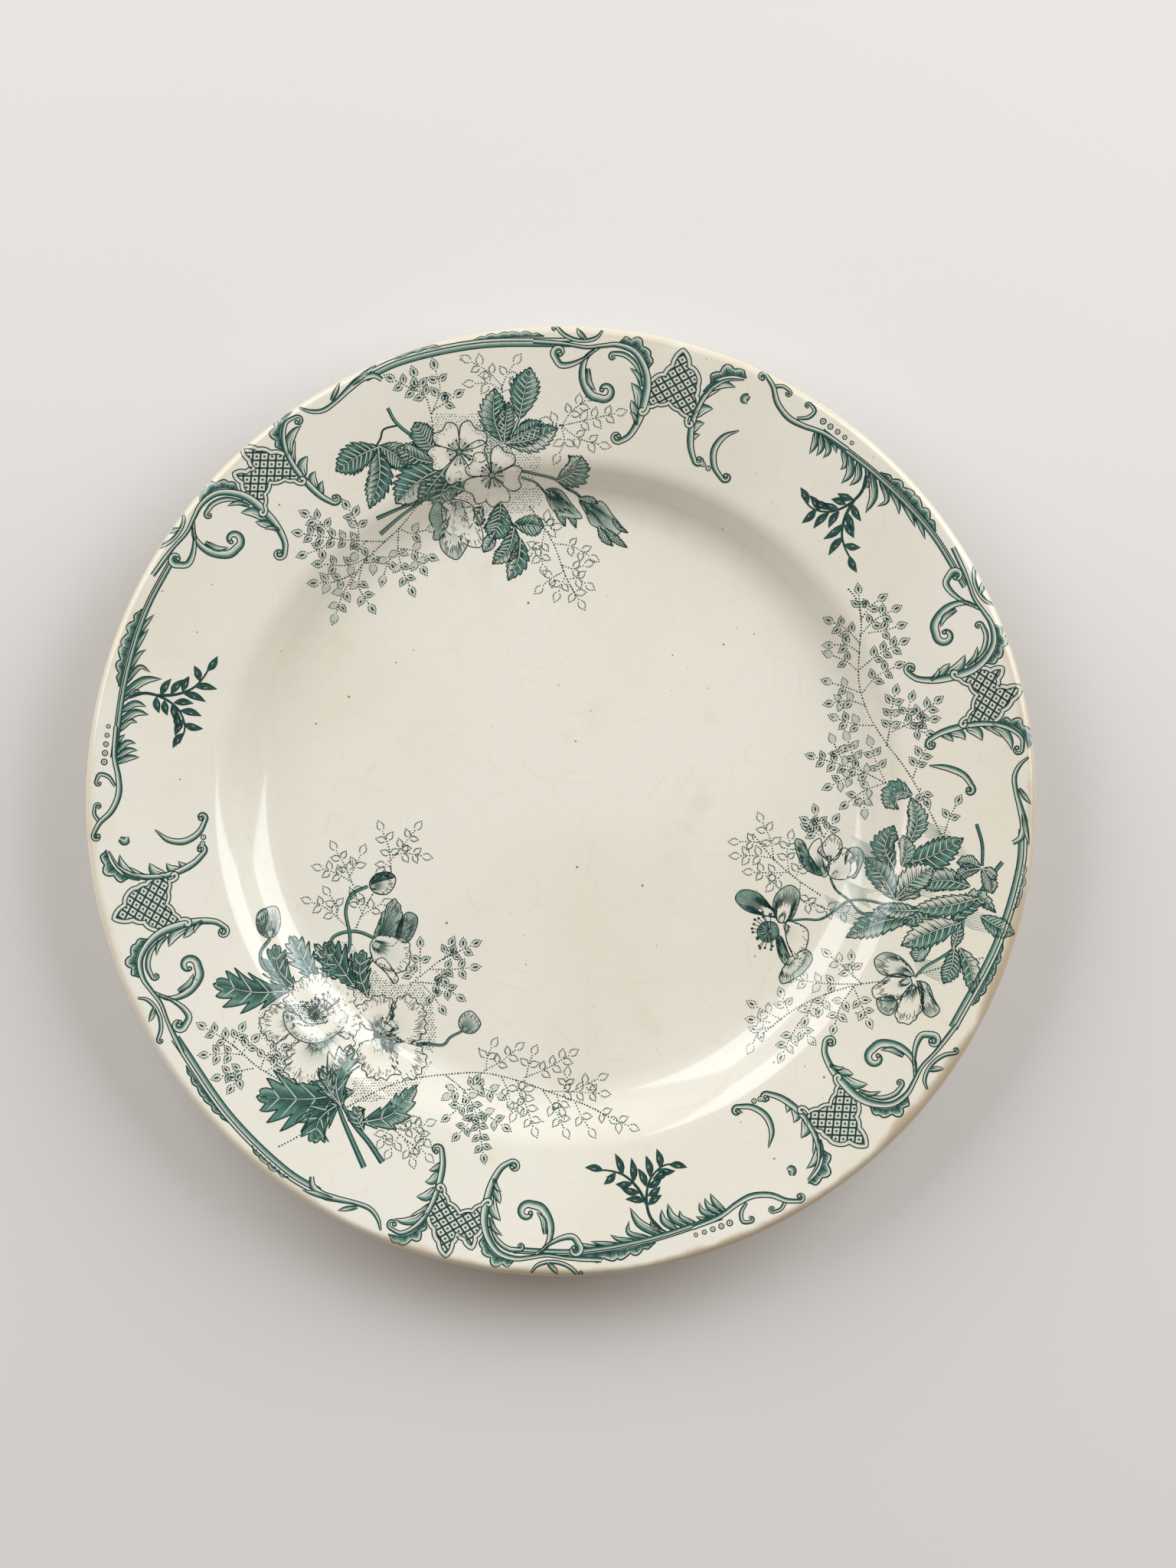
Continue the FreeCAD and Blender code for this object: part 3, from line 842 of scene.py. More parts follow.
fern(film, [(-35.5, 76.2), (-41, 69.6), (-46, 65), (-50.8, 60), (-54, 55)], [
    [(-41.2, 69.3), (-38.4, 68.2), (-34.6, 69)], [(-41.4, 69.2), (-41.6, 64), (-40.6, 59), (-38.8, 55)],
    [(-41.6, 64.4), (-38.4, 64), (-34.4, 62.6)], [(-41.6, 64.4), (-44.4, 60.4), (-45.2, 57.8)],
    [(-45, 66), (-52, 66), (-58, 66.6), (-65, 67.6)], [(-51.4, 66.2), (-51.6, 70), (-53.6, 73.6)],
    [(-49, 62), (-54, 60), (-60, 60)], [(-50.8, 60), (-51.6, 54.6), (-49.2, 50.4)],
    [(-53.4, 57), (-56, 52), (-57.4, 48)],
    [(-49.6, 66), (-51.6, 63.4)], [(-52.6, 58), (-57.6, 55.8), (-61.2, 55.4)],
    [(-47.8, 63.6), (-47.9, 60.8)],
    [(-58, 66.6), (-61, 70.6), (-63.4, 72)], [(-58, 66.6), (-60.8, 64), (-64, 62.8)],
    [(-37.4, 62.4), (-36, 60.2)]], 2.4, 1.0)

# %% The rose spray: shadows, stems and leaves
FILMS["rose_spray"] = film = Film()
stipple(film, [(-35, 93), (-31, 98), (-25, 97.6), (-20, 98), (-15, 93), (-22, 90)], tone=0.6)
stipple(film, [(-20, 97), (-16, 99), (-15, 92), (-9, 90), (-5, 86), (-9, 80), (-16, 84)], tone=0.6)
stipple(film, [(-34, 76), (-26, 79), (-12, 79), (-5, 80), (-6, 75), (-15, 73), (-27, 72.5)], tone=0.75)
stipple(film, [(-24, 94), (-17, 95), (-12, 86), (-20, 84)], 0.55, 0.4, tone=0.8)
stem(film, [(-43.8, 99.3), (-42, 96), (-39.4, 93.6), (-36.4, 91.6)], 0.9)
stem(film, [(-41.2, 95), (-45, 93.8), (-45.6, 91.8), (-46.6, 90)], 0.5)
stem(film, [(-34.8, 76.4), (-40.5, 74.4), (-46.8, 71.6)], [0.7, 0.8, 1.1])
stem(film, [(-35.2, 76.2), (-40.6, 72.4), (-46, 67.8)], [0.7, 0.8, 1.1])
stem(film, [(-14.6, 90.6), (-12.4, 93), (-10.8, 96.6)], 0.9, 0.15)
stem(film, [(-15.5, 76), (-13, 71.6), (-10.8, 67), (-10, 62)], 0.5)
stem(film, [(-10.2, 83.8), (-5.4, 82.8), (-1.6, 81.8), (1.4, 79.6), (4, 78.2), (6.2, 75.6)], 0.75)
stem(film, [(-10.2, 82.2), (-6.6, 81), (-4, 78.4)], 0.6)
leaves(film, [
    ([(-46, 89.6), (-51, 87.4), (-57, 83.4)], 7.4, DARK),
    ([(-46.2, 89.4), (-46, 82), (-48.6, 74)], 6.4, FLIP),
    ([(-46.2, 89.8), (-42.6, 88), (-39, 84.8)], 6.4, HALF),
    ([(-32, 85.6), (-36, 86.4), (-41.6, 89.6)], 6.4, FLIP),
    ([(-31.4, 88), (-34.4, 91.6), (-37, 95.8)], 6.2, DARK),
    ([(-24.4, 79), (-28.6, 79.6), (-29.4, 75)], 6.4, DARK),
    ([(-10.6, 96.6), (-9.6, 102), (-7.8, 109.6)], 7.4, {"tones": (0.8, 0.6)}),
    ([(-15, 91), (-17, 97), (-16.8, 104.4)], 7.0, HALF),
    ([(-14.4, 91), (-14, 96), (-13.2, 101)], 4.6, DARK),
    ([(-13.8, 90.8), (-9.6, 92.6), (-5.2, 96.2)], 6.2, DARK),
    ([(-14, 90.6), (-8, 91.4), (-0.8, 94.4)], 6.6, {"tones": (0.85, 0.25)}),
    ([(-1.2, 81.2), (2.6, 83), (5.2, 87.4)], 7.4, {"tones": (0.35, 0.75)}),
    ([(-15.4, 76), (-16, 71), (-18, 66.6)], 6.8, DARK), ([(-17, 68.6), (-19.8, 63.4)], 3.4, PALE),
    ([(-12.2, 70.6), (-8.6, 70.4), (-4.4, 70)], 5.6, {"tones": (0.5, 0.85)}),
    ([(-12, 69.8), (-13.4, 64.4), (-17.6, 60.4)], 5.2, HALF),
    ([(-10.4, 67), (-11, 61.4), (-13.6, 56.2)], 5.0, {"tones": (0.85, 0.35), "teeth": 6}),
    ([(-20, 75), (-21.6, 72.6), (-20, 70.6)], 4.4, DARK)])
film.layer = 1
leaves(film, [([(-30, 84.4), (-35.6, 81.4), (-42, 75.4)], 9.4, {"tones": (0.2, 0.9), "teeth": 9}),
              ([(-25.4, 84), (-29.8, 79.6), (-31, 74.4)], 8.6, DARK),
              ([(-29, 84.6), (-33, 79.8), (-36.4, 75.6)], 5, DARK)])

# %% [markdown]
# The front of the spray: a pale cupped bloom, two buds and the two open roses. Each layer number
# lifts what follows a little further, so the second rose lies over the first.

# %% The rose spray: blooms and buds
film.layer = 2
petal(film, [(-33.6, 72.4), (-32.4, 69), (-32.6, 66.8), (-31.4, 66.6), (-29, 69.6), (-29.6, 74),
    (-31.6, 76)], (-28, 73.4), 0.9, tones=(0.5, 0.35, 0.5))
petal(film, [(-23.6, 75), (-21.4, 72), (-20, 67.6), (-20.6, 64.8), (-24.6, 65.6), (-26.4, 69.6)],
    (-26, 74.4), 0.5, 0.25)
petal(film, [(-30.4, 69), (-30.8, 65), (-29, 62.6), (-26.6, 61.6), (-25, 63.4), (-23.6, 66.6), (-25, 70)],
    (-27.4, 72), 0.0, 0.35, tones=(0.3, 0.3, 0.05, 0.3))
film.layer = 2.3
petal(film, [(-30.4, 73), (-29.4, 69), (-27, 67.4), (-24.6, 68.4), (-22.6, 71), (-22.6, 75),
    (-26.4, 76.6), (-30, 75.6)], (-26, 76), 0.45, tones=(0.5, 0.15, 0.0, 0.0))
film.layer = 3
petal(film, [(-4, 79), (-3.2, 76), (-1.4, 73.4), (1.4, 72.4), (5.2, 72.2), (2.4, 76), (0, 79),
    (-2.4, 79.6)], (-3, 79), 0.95, tones=(0.7, 0.5, 0.3))
petal(film, [(4.6, 76.4), (6.4, 74.8), (10, 76.4), (13, 73), (15.4, 69.4), (13.6, 67.6), (11, 69),
    (7.6, 70.6), (6.2, 73.4)], (6, 76), 0.95, tones=(0.65, 0.4, 0.25))
leaves(film, [([(-1.6, 75), (0, 72.4), (1, 70)], 1.8, HALF),
    ([(0, 74.4), (2.4, 72.6), (3.8, 69.6)], 1.8, DARK), ([(-4, 79), (-2, 77.6), (-0.4, 78)], 1.8, DARK),
              ([(9.4, 70.2), (11, 67), (13.2, 65)], 1.9, DARK),
              ([(11, 69.6), (13.6, 67), (16.8, 64.6)], 2.0, FLIP),
              ([(13, 72), (15, 69.6), (17, 68.4)], 1.4, HALF),
              ([(4.4, 77), (7, 76.8), (9.4, 75.8)], 1.8, DARK)])
film.layer = 4
wild_rose(film, (-25.8, 88.4), [(128, 7.6, 7.0), (52, 7.9, 7.6), (2, 7.0, 5.6), (-92, 8.2, 7.0),
    (196, 7.8, 6.2)])
film.layer = 5
wild_rose(film, (-17.6, 82.6), [(146, 6.6, 6.6), (58, 7.4, 6.6), (-6, 7.6, 6.2), (-74, 7.4, 6.0),
    (-138, 7.6, 6.8)])

# %% [markdown]
# The right-hand spray is the loosest. A long fern climbs the wall of the well and fills the rim
# above it, and paler ferns lie to the left of the flowers.

# %% The right-hand spray: ferns
FILMS["right_ferns"] = film = Film()
fern(film, [(96.4, -9), (92, 0), (87.4, 8), (82, 15.4), (78, 22.4), (75.8, 29.4), (75.6, 38), (76, 46),
    (74.6, 51.4), (72.8, 53.6)], [
    [(75.7, 40), (72.4, 43.6), (69.4, 45.2)], [(75.6, 37.6), (72.6, 39.6), (69.6, 39.7)],
    [(75.4, 33), (72.4, 35.6), (69.4, 36.9)],
    [(75.9, 27.6), (72.4, 29), (69.2, 30)], [(77, 24.4), (73.4, 25.6), (69.8, 25.1)],
    [(79, 19.2), (75.4, 19.4), (71, 20.8)],
    [(84, 3.6), (76, 7.8), (70, 9.6), (65.2, 11)], [(72.4, 9.4), (70.6, 12.4), (69.7, 14.4)],
    [(76.4, 7.8), (74.4, 11.6), (73.2, 15)],
    [(82.4, 4.8), (80.2, 9.6), (79, 13.6)], [(77, 7.2), (72.4, 5.6), (69.4, 4.2)],
    [(82.4, 4.6), (77.2, 2.6), (73.4, -0.2)],
    [(77, 2.4), (77.2, -1.6)], [(76, 46), (78.4, 49.4), (80, 50.6)],
    [(75.8, 42), (79.4, 45.8), (83.4, 48)],
    [(78, 42.6), (82, 43.2), (84.6, 44)], [(76, 33.6), (80.2, 37), (85.4, 39.7)],
    [(76.6, 27.6), (80, 31.6), (84.2, 33.8)],
    [(82.6, 14), (83.4, 19), (83.8, 23.4), (84.5, 26.6)],
    [(84, 17.6), (88, 19.6), (91.4, 22.4), (94.2, 24.6)],
    [(86.6, 19), (88.4, 25)], [(88, 19.4), (93, 20.4)], [(87.6, 18.6), (92, 17.4)],
    [(89.2, 6), (90.6, 10), (92.2, 12.8)],
    [(97, -8), (98.4, -4), (99.8, -1.2)], [(76, 46), (75.4, 52)], [(91, 3), (92, 1)]], 2.3, 1.0)
fern(film, [(49, -8.6), (53.4, -14), (59.6, -19.6), (66, -24)], [
    [(54.2, -15), (53.4, -10), (51.4, -5.6)], [(54, -14.6), (49.4, -14), (45.8, -14)],
    [(58, -18.2), (53.4, -18.4), (49.2, -18.2)],
    [(58, -18), (57.6, -13), (58.2, -10.2)], [(56, -19), (54.2, -21)],
    [(61, -21), (61, -25), (64.6, -27)], [(52, -11), (48.4, -10.4), (45.6, -10.4)],
    [(59.8, -19.6), (61, -16.6)], [(64, -26), (69, -28), (74, -29)]], 2.2, 0.0)
fern(film, [(68, -11), (66, -7.6)],
    [[(66.4, -8), (65.6, -5), (65.2, -3.6)], [(66, -7), (63.4, -5.6)], [(67, -9), (69.2, -5.8)],
    [(66.4, -9), (63.6, -7.4)]], 2.2, 0.8)
fern(film, [(84, -45.4), (75, -46.6), (66, -49.6), (58, -54), (51, -59.6)], [
    [(76, -46.2), (72, -42.4), (68.8, -39.8)], [(74, -44.4), (73.8, -41)],
    [(74.6, -46.4), (67, -46.4), (60, -45.6)],
    [(74, -47.2), (71, -51.6), (69.4, -56.4)], [(74.2, -47.4), (76, -51.6), (77.4, -54.8)],
    [(64, -50.6), (62.4, -54.6)],
    [(60.4, -56.4), (58, -60.4), (56.4, -63.6)], [(60, -57), (62.4, -59.6)],
    [(56, -55.6), (52.6, -54), (50, -52.6)], [(58, -54), (56.6, -50.4)],
    [(54, -57.4), (50.6, -58.6), (48.8, -61.6)], [(67, -49.2), (66, -52)], [(53, -56.4), (50, -56)]], 2.3,
    0.15)
dotted(film, curve([(91, -43.6), (98, -41.6), (106.4, -39.6)]), 0.45)

# %% The right-hand spray: shading, stems and leaves
FILMS["right_spray"] = film = Film()
for x, y, long in ((74, -9, 9), (76, -13, 12), (90, -4, 8), (94, -7, 7), (67, -24, 9), (85, -17, 8),
    (72, -20, 9), (88, -38, 9), (97, -25, 10), (84, -26, 8)):
    for k in range(9):
        start = np.array([x + 0.25 * k, y - 0.6 * k])
        line = [start, start + [long / 2, -0.25 * long], start + [long, -0.35 * long]]
        stroke(film, line, [0.06, 0.16, 0.06], 0.5, 0.0)
stem(film, [(105, -5.8), (106.4, -11), (106.4, -16.4)], [0.9, 0.9, 0.8], 0.7)
stem(film, [(111.4, -15.4), (108.6, -19), (104.4, -25), (100, -30)], [1.1, 1.0, 1.0])
stem(film, [(101.6, -29), (101.2, -33), (99.4, -37), (96, -39.6), (92, -42), (89.4, -44.6)],
    [0.9, 0.8, 0.7])
stem(film, [(58, -30.6), (62, -30.2), (66, -30.2), (70, -27.8), (73, -25.6), (77, -25.2), (83, -26.4),
    (90, -27.4)], [0.6, 0.7, 0.8])
stem(film, [(68.6, -19.6), (70, -22.6), (73.4, -25.4), (75.6, -28), (80, -29.4), (85, -28.8),
    (90, -27.8)], [0.6, 0.7, 0.8])
leaves(film, [
    ([(98.4, -31.4), (102, -27), (105.6, -24.6), (109.8, -28.2)], 5.0, HALF),
    ([(106, -29), (110, -31.6), (114.4, -33.6)], 5.0, {"tones": (0.6, 0.5)}),
    ([(89, 1.6), (85.6, 2.2), (82.4, -1.8)], 6.4, {"tones": (0.6, 0.75)}),
    ([(88.2, -11), (90.2, -5), (88.6, 1)], 5.2, PALE),
    ([(86, -16), (93.6, -14), (101.8, -9.4)], 7.6, {"tones": (0.7, 0.95), "teeth": 9}),
    ([(84.4, -17), (82.2, -12), (84.4, -6.2)], 6.2, DARK),
    ([(84.6, -25), (81.4, -19), (77.4, -14.4)], 6.6, FLIP),
    ([(103.4, -21.6), (97, -20), (90, -21.6)], 6.0, {"tones": (0.85, 0.35)}),
    ([(106, -16.6), (103, -15.4), (100, -15.6)], 3.4, PALE),
    ([(106, -17), (102.6, -17.6), (99.6, -20)], 3.6, HALF),
    ([(106.4, -17), (108, -20), (109, -23.4)], 4.0, PALE),
    ([(106.6, -17), (108.4, -18), (109.6, -20)], 2.6, DARK),
    ([(96, -32), (92, -29.6), (86.4, -31)], 4.6, DARK),
    ([(89, -29.4), (81, -30.6), (72.4, -34.8)], 6.6, {"tones": (0.5, 0.95)}),
    ([(99.4, -37), (98.6, -42), (96.6, -46.2)], 4.8, DARK),
    ([(100.6, -37), (103.2, -42), (103.8, -48.6)], 4.6, {"tones": (0.2, 0.8), "teeth": 6}),
    ([(99, -37.4), (100.2, -33), (99, -29)], 3.0, PALE),
    ([(93.6, -36), (91, -38), (89.6, -40.6)], 4.6, DARK)])
film.layer = 1
leaves(film, [
    ([(105.4, -24.6), (98, -26.4), (88.6, -27.4)], 5.4, {"tones": (0.75, 0.2), "teeth": 9}),
    ([(101, -30.8), (94, -33), (86, -36.6)], 7.2, {"tones": (0.75, 0.15), "teeth": 9}),
    ([(84.8, -24.8), (88.6, -20.6), (94.4, -16.4)], 7.0, {"tones": (0.12, 0.55)}),
    ([(86.4, -16.6), (87.6, -13), (86.6, -8.6)], 4.2, PALE),
    ([(90.6, -27.6), (86, -27.8), (80, -27)], 4.2, PALE),
    ([(85, -25), (88, -23.4), (91, -24)], 3.4, PALE)])

# %% [markdown]
# Three blooms are seen from the side and one from the front, with long stamens that all lean one
# way. Their petals overlap from the back to the front in the order of the list.

# %% The right-hand spray: blooms
film.layer = 2
petal(film, [(59.8, -9.8), (61.6, -10.2), (63.2, -13.6), (66.6, -19), (62.6, -17.6), (60.2, -13.6)],
    (65.4, -18.2), 0.9, 0.3, (0.9, 0.6, 0.3))
petal(film, [(63, -14.4), (64, -10.8), (66, -9.6), (66.6, -12), (68.4, -17), (67.2, -19.4)], (67, -18.6),
    0.6, 0.0, (0.5, 0.1, 0.0))
petal(film, [(65.4, -13), (67, -10.6), (69, -8.6), (71, -9.6), (71.6, -12), (70, -15)], (68, -15.6), 0.3,
    0.2)
petal(film, [(73, -12.6), (75.4, -11.8), (77, -13.6), (76.2, -17), (74.4, -19.8), (72.4, -16)],
    (72.6, -18.6), 0.7, 0.4, (0.5, 0.45, 0.4))
petal(film, [(67.6, -17.2), (70, -14.2), (72.2, -12), (74.8, -14.6), (75.2, -17.6), (72.8, -19.8),
    (69, -19.6)], (69.4, -19.4), 0.25, 0.2)
petal(film, [(79.4, -40.2), (82, -38.4), (86, -39.6), (89.2, -44), (85, -44.6), (80.6, -43.4)],
    (88.6, -44.2), 0.45, 0.3, (0.5, 0.15, 0.1, 0.3))
petal(film, [(80, -50), (84.6, -50.2), (85, -52), (83, -54.2), (80.6, -53)], (84, -49), 0.7, 0.3,
    (0.8, 0.3, 0.2))
petal(film, [(80.4, -46.2), (84, -43.8), (88.2, -44.6), (88.6, -47.6), (84.6, -50.4), (79.4, -49.8),
    (78.8, -47.6)], (88, -45.4), 0.35, 0.25)
petal(film, [(90, -45.6), (92.6, -46.2), (94.2, -50), (95.6, -53), (93.4, -54.6), (91.4, -53),
    (91.6, -48.6)], (89.8, -45.4), 0.5, 0.3, (0.4, 0.2, 0.2, 0.3))
petal(film, [(88.6, -46.6), (84.8, -53), (85, -55.6), (88, -56.2), (91, -53), (91.4, -49)], (89, -46),
    0.5, 0.15, frill=0.15)
petal(film, [(44.4, -24.8), (46, -22.8), (50, -23.4), (53, -26.4), (54.6, -29.2), (50, -28.9),
    (46.6, -27.6)], (55, -30), 0.2, 0.6, (0.2, 0.0, 0.3, 0.7))
petal(film, [(54, -27), (55, -23.6), (58.4, -21.5), (60.8, -23.4), (60, -27.6), (58.4, -30.4),
    (55.6, -31)], (56, -31), 0.3, 0.5, (0.2, 0.0, 0.2, 0.4))
petal(film, [(57.6, -30.8), (61, -31.6), (62.8, -33), (62.6, -37), (60.4, -40.6), (57.6, -36)],
    (56.6, -31.6), 0.3, 0.12)
petal(film, [(58.6, -40), (62.6, -38), (64, -40), (62, -43.4), (56.4, -46.6), (55.6, -45)], (58, -40),
    0.5, 0.4, (0.2, 0.1, 0.3))
petal(film, [(55, -34.6), (55.4, -39), (57, -41.6), (58.6, -41.6), (57.6, -38), (56, -34.6)], (55.4, -34),
    0.9, 0.3, (0.8, 0.5, 0.4))
film.layer = 3
petal(film, [(50, -33), (51.6, -31), (54.6, -31.2), (55.4, -34), (53, -36), (50.6, -35)], (53.4, -33),
    0.9, 0.3, (0.2, 0.5, 0.7))
stamens(film, (53.4, -33.2), 4.9, 15, 95, 200, 0.72, eye=1.2)

# %% [markdown]
# The poppies stand at the lower left, with a long fern that trails along the foot of the wall.

# %% The poppy spray: ferns
FILMS["poppy_ferns"] = film = Film()
fern(film, [], [[(-43.4, -18), (-44, -12), (-45.6, -7.8)], [(-43.4, -15), (-40, -11), (-37.4, -7.6)],
    [(-43.8, -13.8), (-39.6, -13.4), (-35.8, -14)],
     [(-44, -15.4), (-45.4, -17)]], 2.2, 0.0)
fern(film, [(-52.6, -33), (-50, -27), (-47, -22)], [
    [(-53.2, -21.4), (-55, -17), (-57.4, -12.8)], [(-53.6, -20.6), (-57.6, -18.4), (-60.8, -17.4)],
    [(-54.2, -19.6), (-52.2, -16), (-51.2, -13.8)],
    [(-55, -31.8), (-60, -27.4), (-63.6, -25.9)], [(-57, -30), (-57.8, -26), (-59, -24.2)],
    [(-51.2, -29.6), (-48, -27.4), (-46, -26.4)],
    [(-50.8, -28.6), (-52.6, -25)], [(-54, -22), (-52.4, -23.6)]], 2.2, 0.0)
fern(film, [(-38.4, -46.8), (-31, -40.8), (-27, -38.4)], [
    [(-31, -40.8), (-26.6, -38.6), (-23.2, -37)], [(-33.4, -43), (-28, -43), (-23.6, -42.6)],
    [(-36.6, -46.2), (-31, -47), (-27, -49.4)],
    [(-35.4, -47), (-32.6, -50), (-31.2, -52)], [(-36, -44.6), (-36, -40), (-36, -37.8)],
    [(-31.8, -43.6), (-30.6, -45)], [(-30, -40.4), (-28.6, -37.4)],
    [(-37, -45), (-38.6, -43.4)]], 2.3, 0.9)
fern(film, [(-68.6, -72), (-77, -67), (-82.4, -62.2), (-85.4, -60)], [
    [(-82, -62.6), (-86, -59.6), (-89.4, -57.6)], [(-80, -64.2), (-84.6, -63.8), (-88.6, -64)],
    [(-78, -67.6), (-82, -68.4), (-85.4, -69.4)],
    [(-80.6, -68.4), (-82.6, -71.4)], [(-83, -61.6), (-81.4, -58.6)], [(-80.6, -63.6), (-78.4, -61.2)],
    [(-76, -67.8), (-74.4, -64), (-71.4, -62.8)],
    [(-74.6, -68.4), (-71.2, -66.4)]], 2.3, 0.7)
fern(film, [(-54, -77.4), (-46, -73.2), (-38, -70.8), (-30, -69.8), (-20, -69.4), (-11, -71.4),
    (-2, -74.6), (6, -77.4), (12, -80.4)], [
    [(-29.4, -70), (-25, -73.6), (-22.6, -77), (-20.8, -83), (-19.8, -89)],
    [(-24.6, -73.6), (-20, -73.4), (-16.6, -74.8)],
    [(-22.6, -77.4), (-18, -80.4), (-15.2, -82.2)], [(-22.8, -76.8), (-22.8, -80.6), (-25.6, -84)],
    [(-24.8, -74.4), (-25.6, -77.6), (-28, -79.6)],
    [(-26, -73), (-28, -74.4)], [(-23.4, -73.6), (-22.4, -72.2)]], 2.2, 1.0)
fern(film, [], [[(-19.6, -68.8), (-15, -66.2), (-11.8, -63.6)],
    [(-19.2, -68.6), (-18.8, -65), (-17.8, -63)], [(-9, -70.4), (-8.2, -67), (-7.4, -65)],
    [(-9.4, -70.6), (-4, -68.4), (1.8, -65)], [(-15.2, -70.6), (-13.6, -74), (-13.2, -76)],
    [(-11.4, -71.4), (-9.6, -76), (-7.2, -82.6)],
    [(-4.6, -74), (-2, -78), (0.6, -83)], [(-4.4, -74), (3, -74.2), (9.6, -74.6)],
    [(1, -74.2), (1.4, -70.6)], [(3, -74), (6, -72.4), (9.2, -71)],
    [(3.6, -77), (5, -80), (7, -83)], [(12, -80.2), (15.4, -81.8), (17, -82.4)],
    [(8.6, -78.4), (12, -80.4)], [(-12, -74), (-9.6, -73.6)], [(-10, -76), (-11.6, -79)],
    [(-1, -75.6), (-0.2, -78)]], 2.2, 0.0)
fern(film, [(-46, -79.6), (-42, -83.4), (-37, -87.6)], [
    [(-42.6, -83), (-38, -83), (-34.6, -82)], [(-43, -82.4), (-39, -81.2)],
    [(-39.6, -86), (-36, -87.6), (-34.4, -89.2)], [(-41, -84.6), (-43, -88)],
    [(-39, -86.4), (-38, -90)], [(-43.4, -82.6), (-45, -85.4)], [(-37, -83.2), (-35, -85.4)]], 2.3, 0.0)
dotted(film, curve([(-64, -83.2), (-68, -85.6), (-71.2, -87.2)]), 0.5)

# %% The poppy spray: shadows, stems and lobed leaves
FILMS["poppy_spray"] = film = Film()
stipple(film, [(-51, -38), (-47, -44), (-41, -47), (-37, -46), (-33, -52), (-32, -60), (-33, -64),
    (-38, -60), (-40, -52), (-50, -50)], 0.72, 0.4, 0.85)
stipple(film, [(-60, -37), (-54, -36), (-50, -42), (-48, -50), (-54, -50), (-60, -44)], 0.7, 0.36, 0.8)
stipple(film, [(-52, -70), (-44, -71), (-36, -70), (-33, -66), (-37, -73), (-46, -76), (-53, -76)], 0.72,
    0.38, 0.85)
stipple(film, [(-76, -52), (-70, -49), (-68, -54), (-72, -62), (-76, -60)], 0.75, 0.36, 0.8)
stipple(film, [(-70, -62), (-66, -60), (-66, -70), (-70, -71), (-72, -66)], 0.72, 0.36, 0.8)
stem(film, [(-57, -75), (-55.4, -80), (-52.6, -86.4), (-49.8, -92.6)], [0.9, 1.3, 1.5])
stem(film, [(-55.6, -76.4), (-52.6, -81.6), (-48.6, -86.4), (-45.2, -91.4)], [0.9, 1.3, 1.5])
stem(film, [(-74, -35), (-76.2, -38.4), (-75.6, -42), (-72, -44.6), (-68.2, -49.6)], 0.9)
stem(film, [(-49.4, -21.8), (-53.4, -23.8), (-55, -28), (-54, -34), (-54.2, -37.6), (-56.8, -41.4)], 0.9)
stem(film, [(-59.4, -38.4), (-58.2, -34.8), (-54, -33.3), (-51, -33.6), (-47.8, -35)], 0.9)
stem(film, [(-25.4, -58.8), (-28.4, -60.4), (-30, -62.2), (-35, -62), (-41, -63.2)], [0.7, 0.8, 1.3])
LOBED = {"teeth": 5, "depth": 0.5, "lean": 0.42, "widest": 0.85}
leaves(film, [
    ([(-69, -48.2), (-78, -48.4), (-88, -46.2)], 9.6, {**LOBED, "tones": (0.75, 0.95)}),
    ([(-67.4, -47.6), (-71.6, -43), (-72.8, -36.4)], 6.4, {**LOBED, "tones": (0.9, 0.9)}),
    ([(-62, -46), (-65.4, -41), (-69.2, -34.4)], 6.4, {**LOBED, "tones": (0.45, 0.7)}),
    ([(-52.4, -48), (-56.6, -42), (-60.4, -36)], 8.0, {**LOBED, "tones": (0.7, 0.95)}),
    ([(-49.4, -50), (-51.4, -44), (-50.6, -38)], 6.2, {**LOBED, "tones": (0.9, 0.75)}),
    ([(-52.4, -73.6), (-64, -75.4), (-77, -74.6)], 13.5, {**LOBED, "teeth": 6, "tones": (0.95, 0.8)}),
    ([(-56, -76.4), (-61, -80.4), (-62.4, -86.4)], 8.4, {**LOBED, "tones": (0.9, 0.9)}),
    ([(-50, -83.4), (-51.6, -80), (-51, -77.4)], 4.6, {**LOBED, "tones": (0.9, 0.9)}),
    ([(-50.4, -81.4), (-43, -79.4), (-36.6, -72.2)], 6.6,
    {"teeth": 5, "depth": 0.35, "tones": (0.9, 0.55)}),
    ([(-60, -47), (-59.4, -42), (-63, -36.4)], 4.6, {**LOBED, "tones": (0.3, 0.5)})])

# %% [markdown]
# Buds nod on hairy stems, one bloom stands upright, and two full poppies overlap at the front.
# Their petals have frilled edges: a wave is added to the outline where it is far from the root.

# %% The poppy spray: buds and the upright bloom
film.layer = 1
petal(film, [(-77.4, -31), (-77, -28.6), (-75, -27.2), (-72.6, -27), (-71.6, -30), (-72, -33),
    (-73.6, -34.8), (-76, -34)], (-74, -34.4), 0.9, 0.0, (0.3, 0.3, 0.2))
petal(film, [(-77.4, -31), (-77, -28.4), (-75.4, -27.4), (-74.6, -29.4), (-75.4, -32.4), (-75.6, -34.2),
    (-76.6, -33.4)], (-75.6, -33.8), 0.98, 0.3, (0.9, 0.8, 0.7))
petal(film, [(-49, -21.4), (-47.6, -19), (-44, -18.2), (-42.4, -19.4), (-42.6, -21.6), (-44.6, -23.8),
    (-47.6, -23.4)], (-48.6, -22), 0.6, 0.2, (0.5, 0.2, 0.1))
petal(film, [(-48.8, -20.8), (-47.4, -18.8), (-44.4, -18.2), (-42.6, -19.4), (-45, -20.2)], (-48.4, -21),
    0.98, 0.3, (0.9, 0.8, 0.7))
petal(film, [(-26.2, -56.6), (-25.4, -54.6), (-23.2, -53.6), (-21.4, -55.2), (-20.6, -57), (-22.4, -59.2),
    (-25.2, -58.8)], (-24.8, -58.6), 0.85, 0.2, (0.6, 0.3, 0.15))
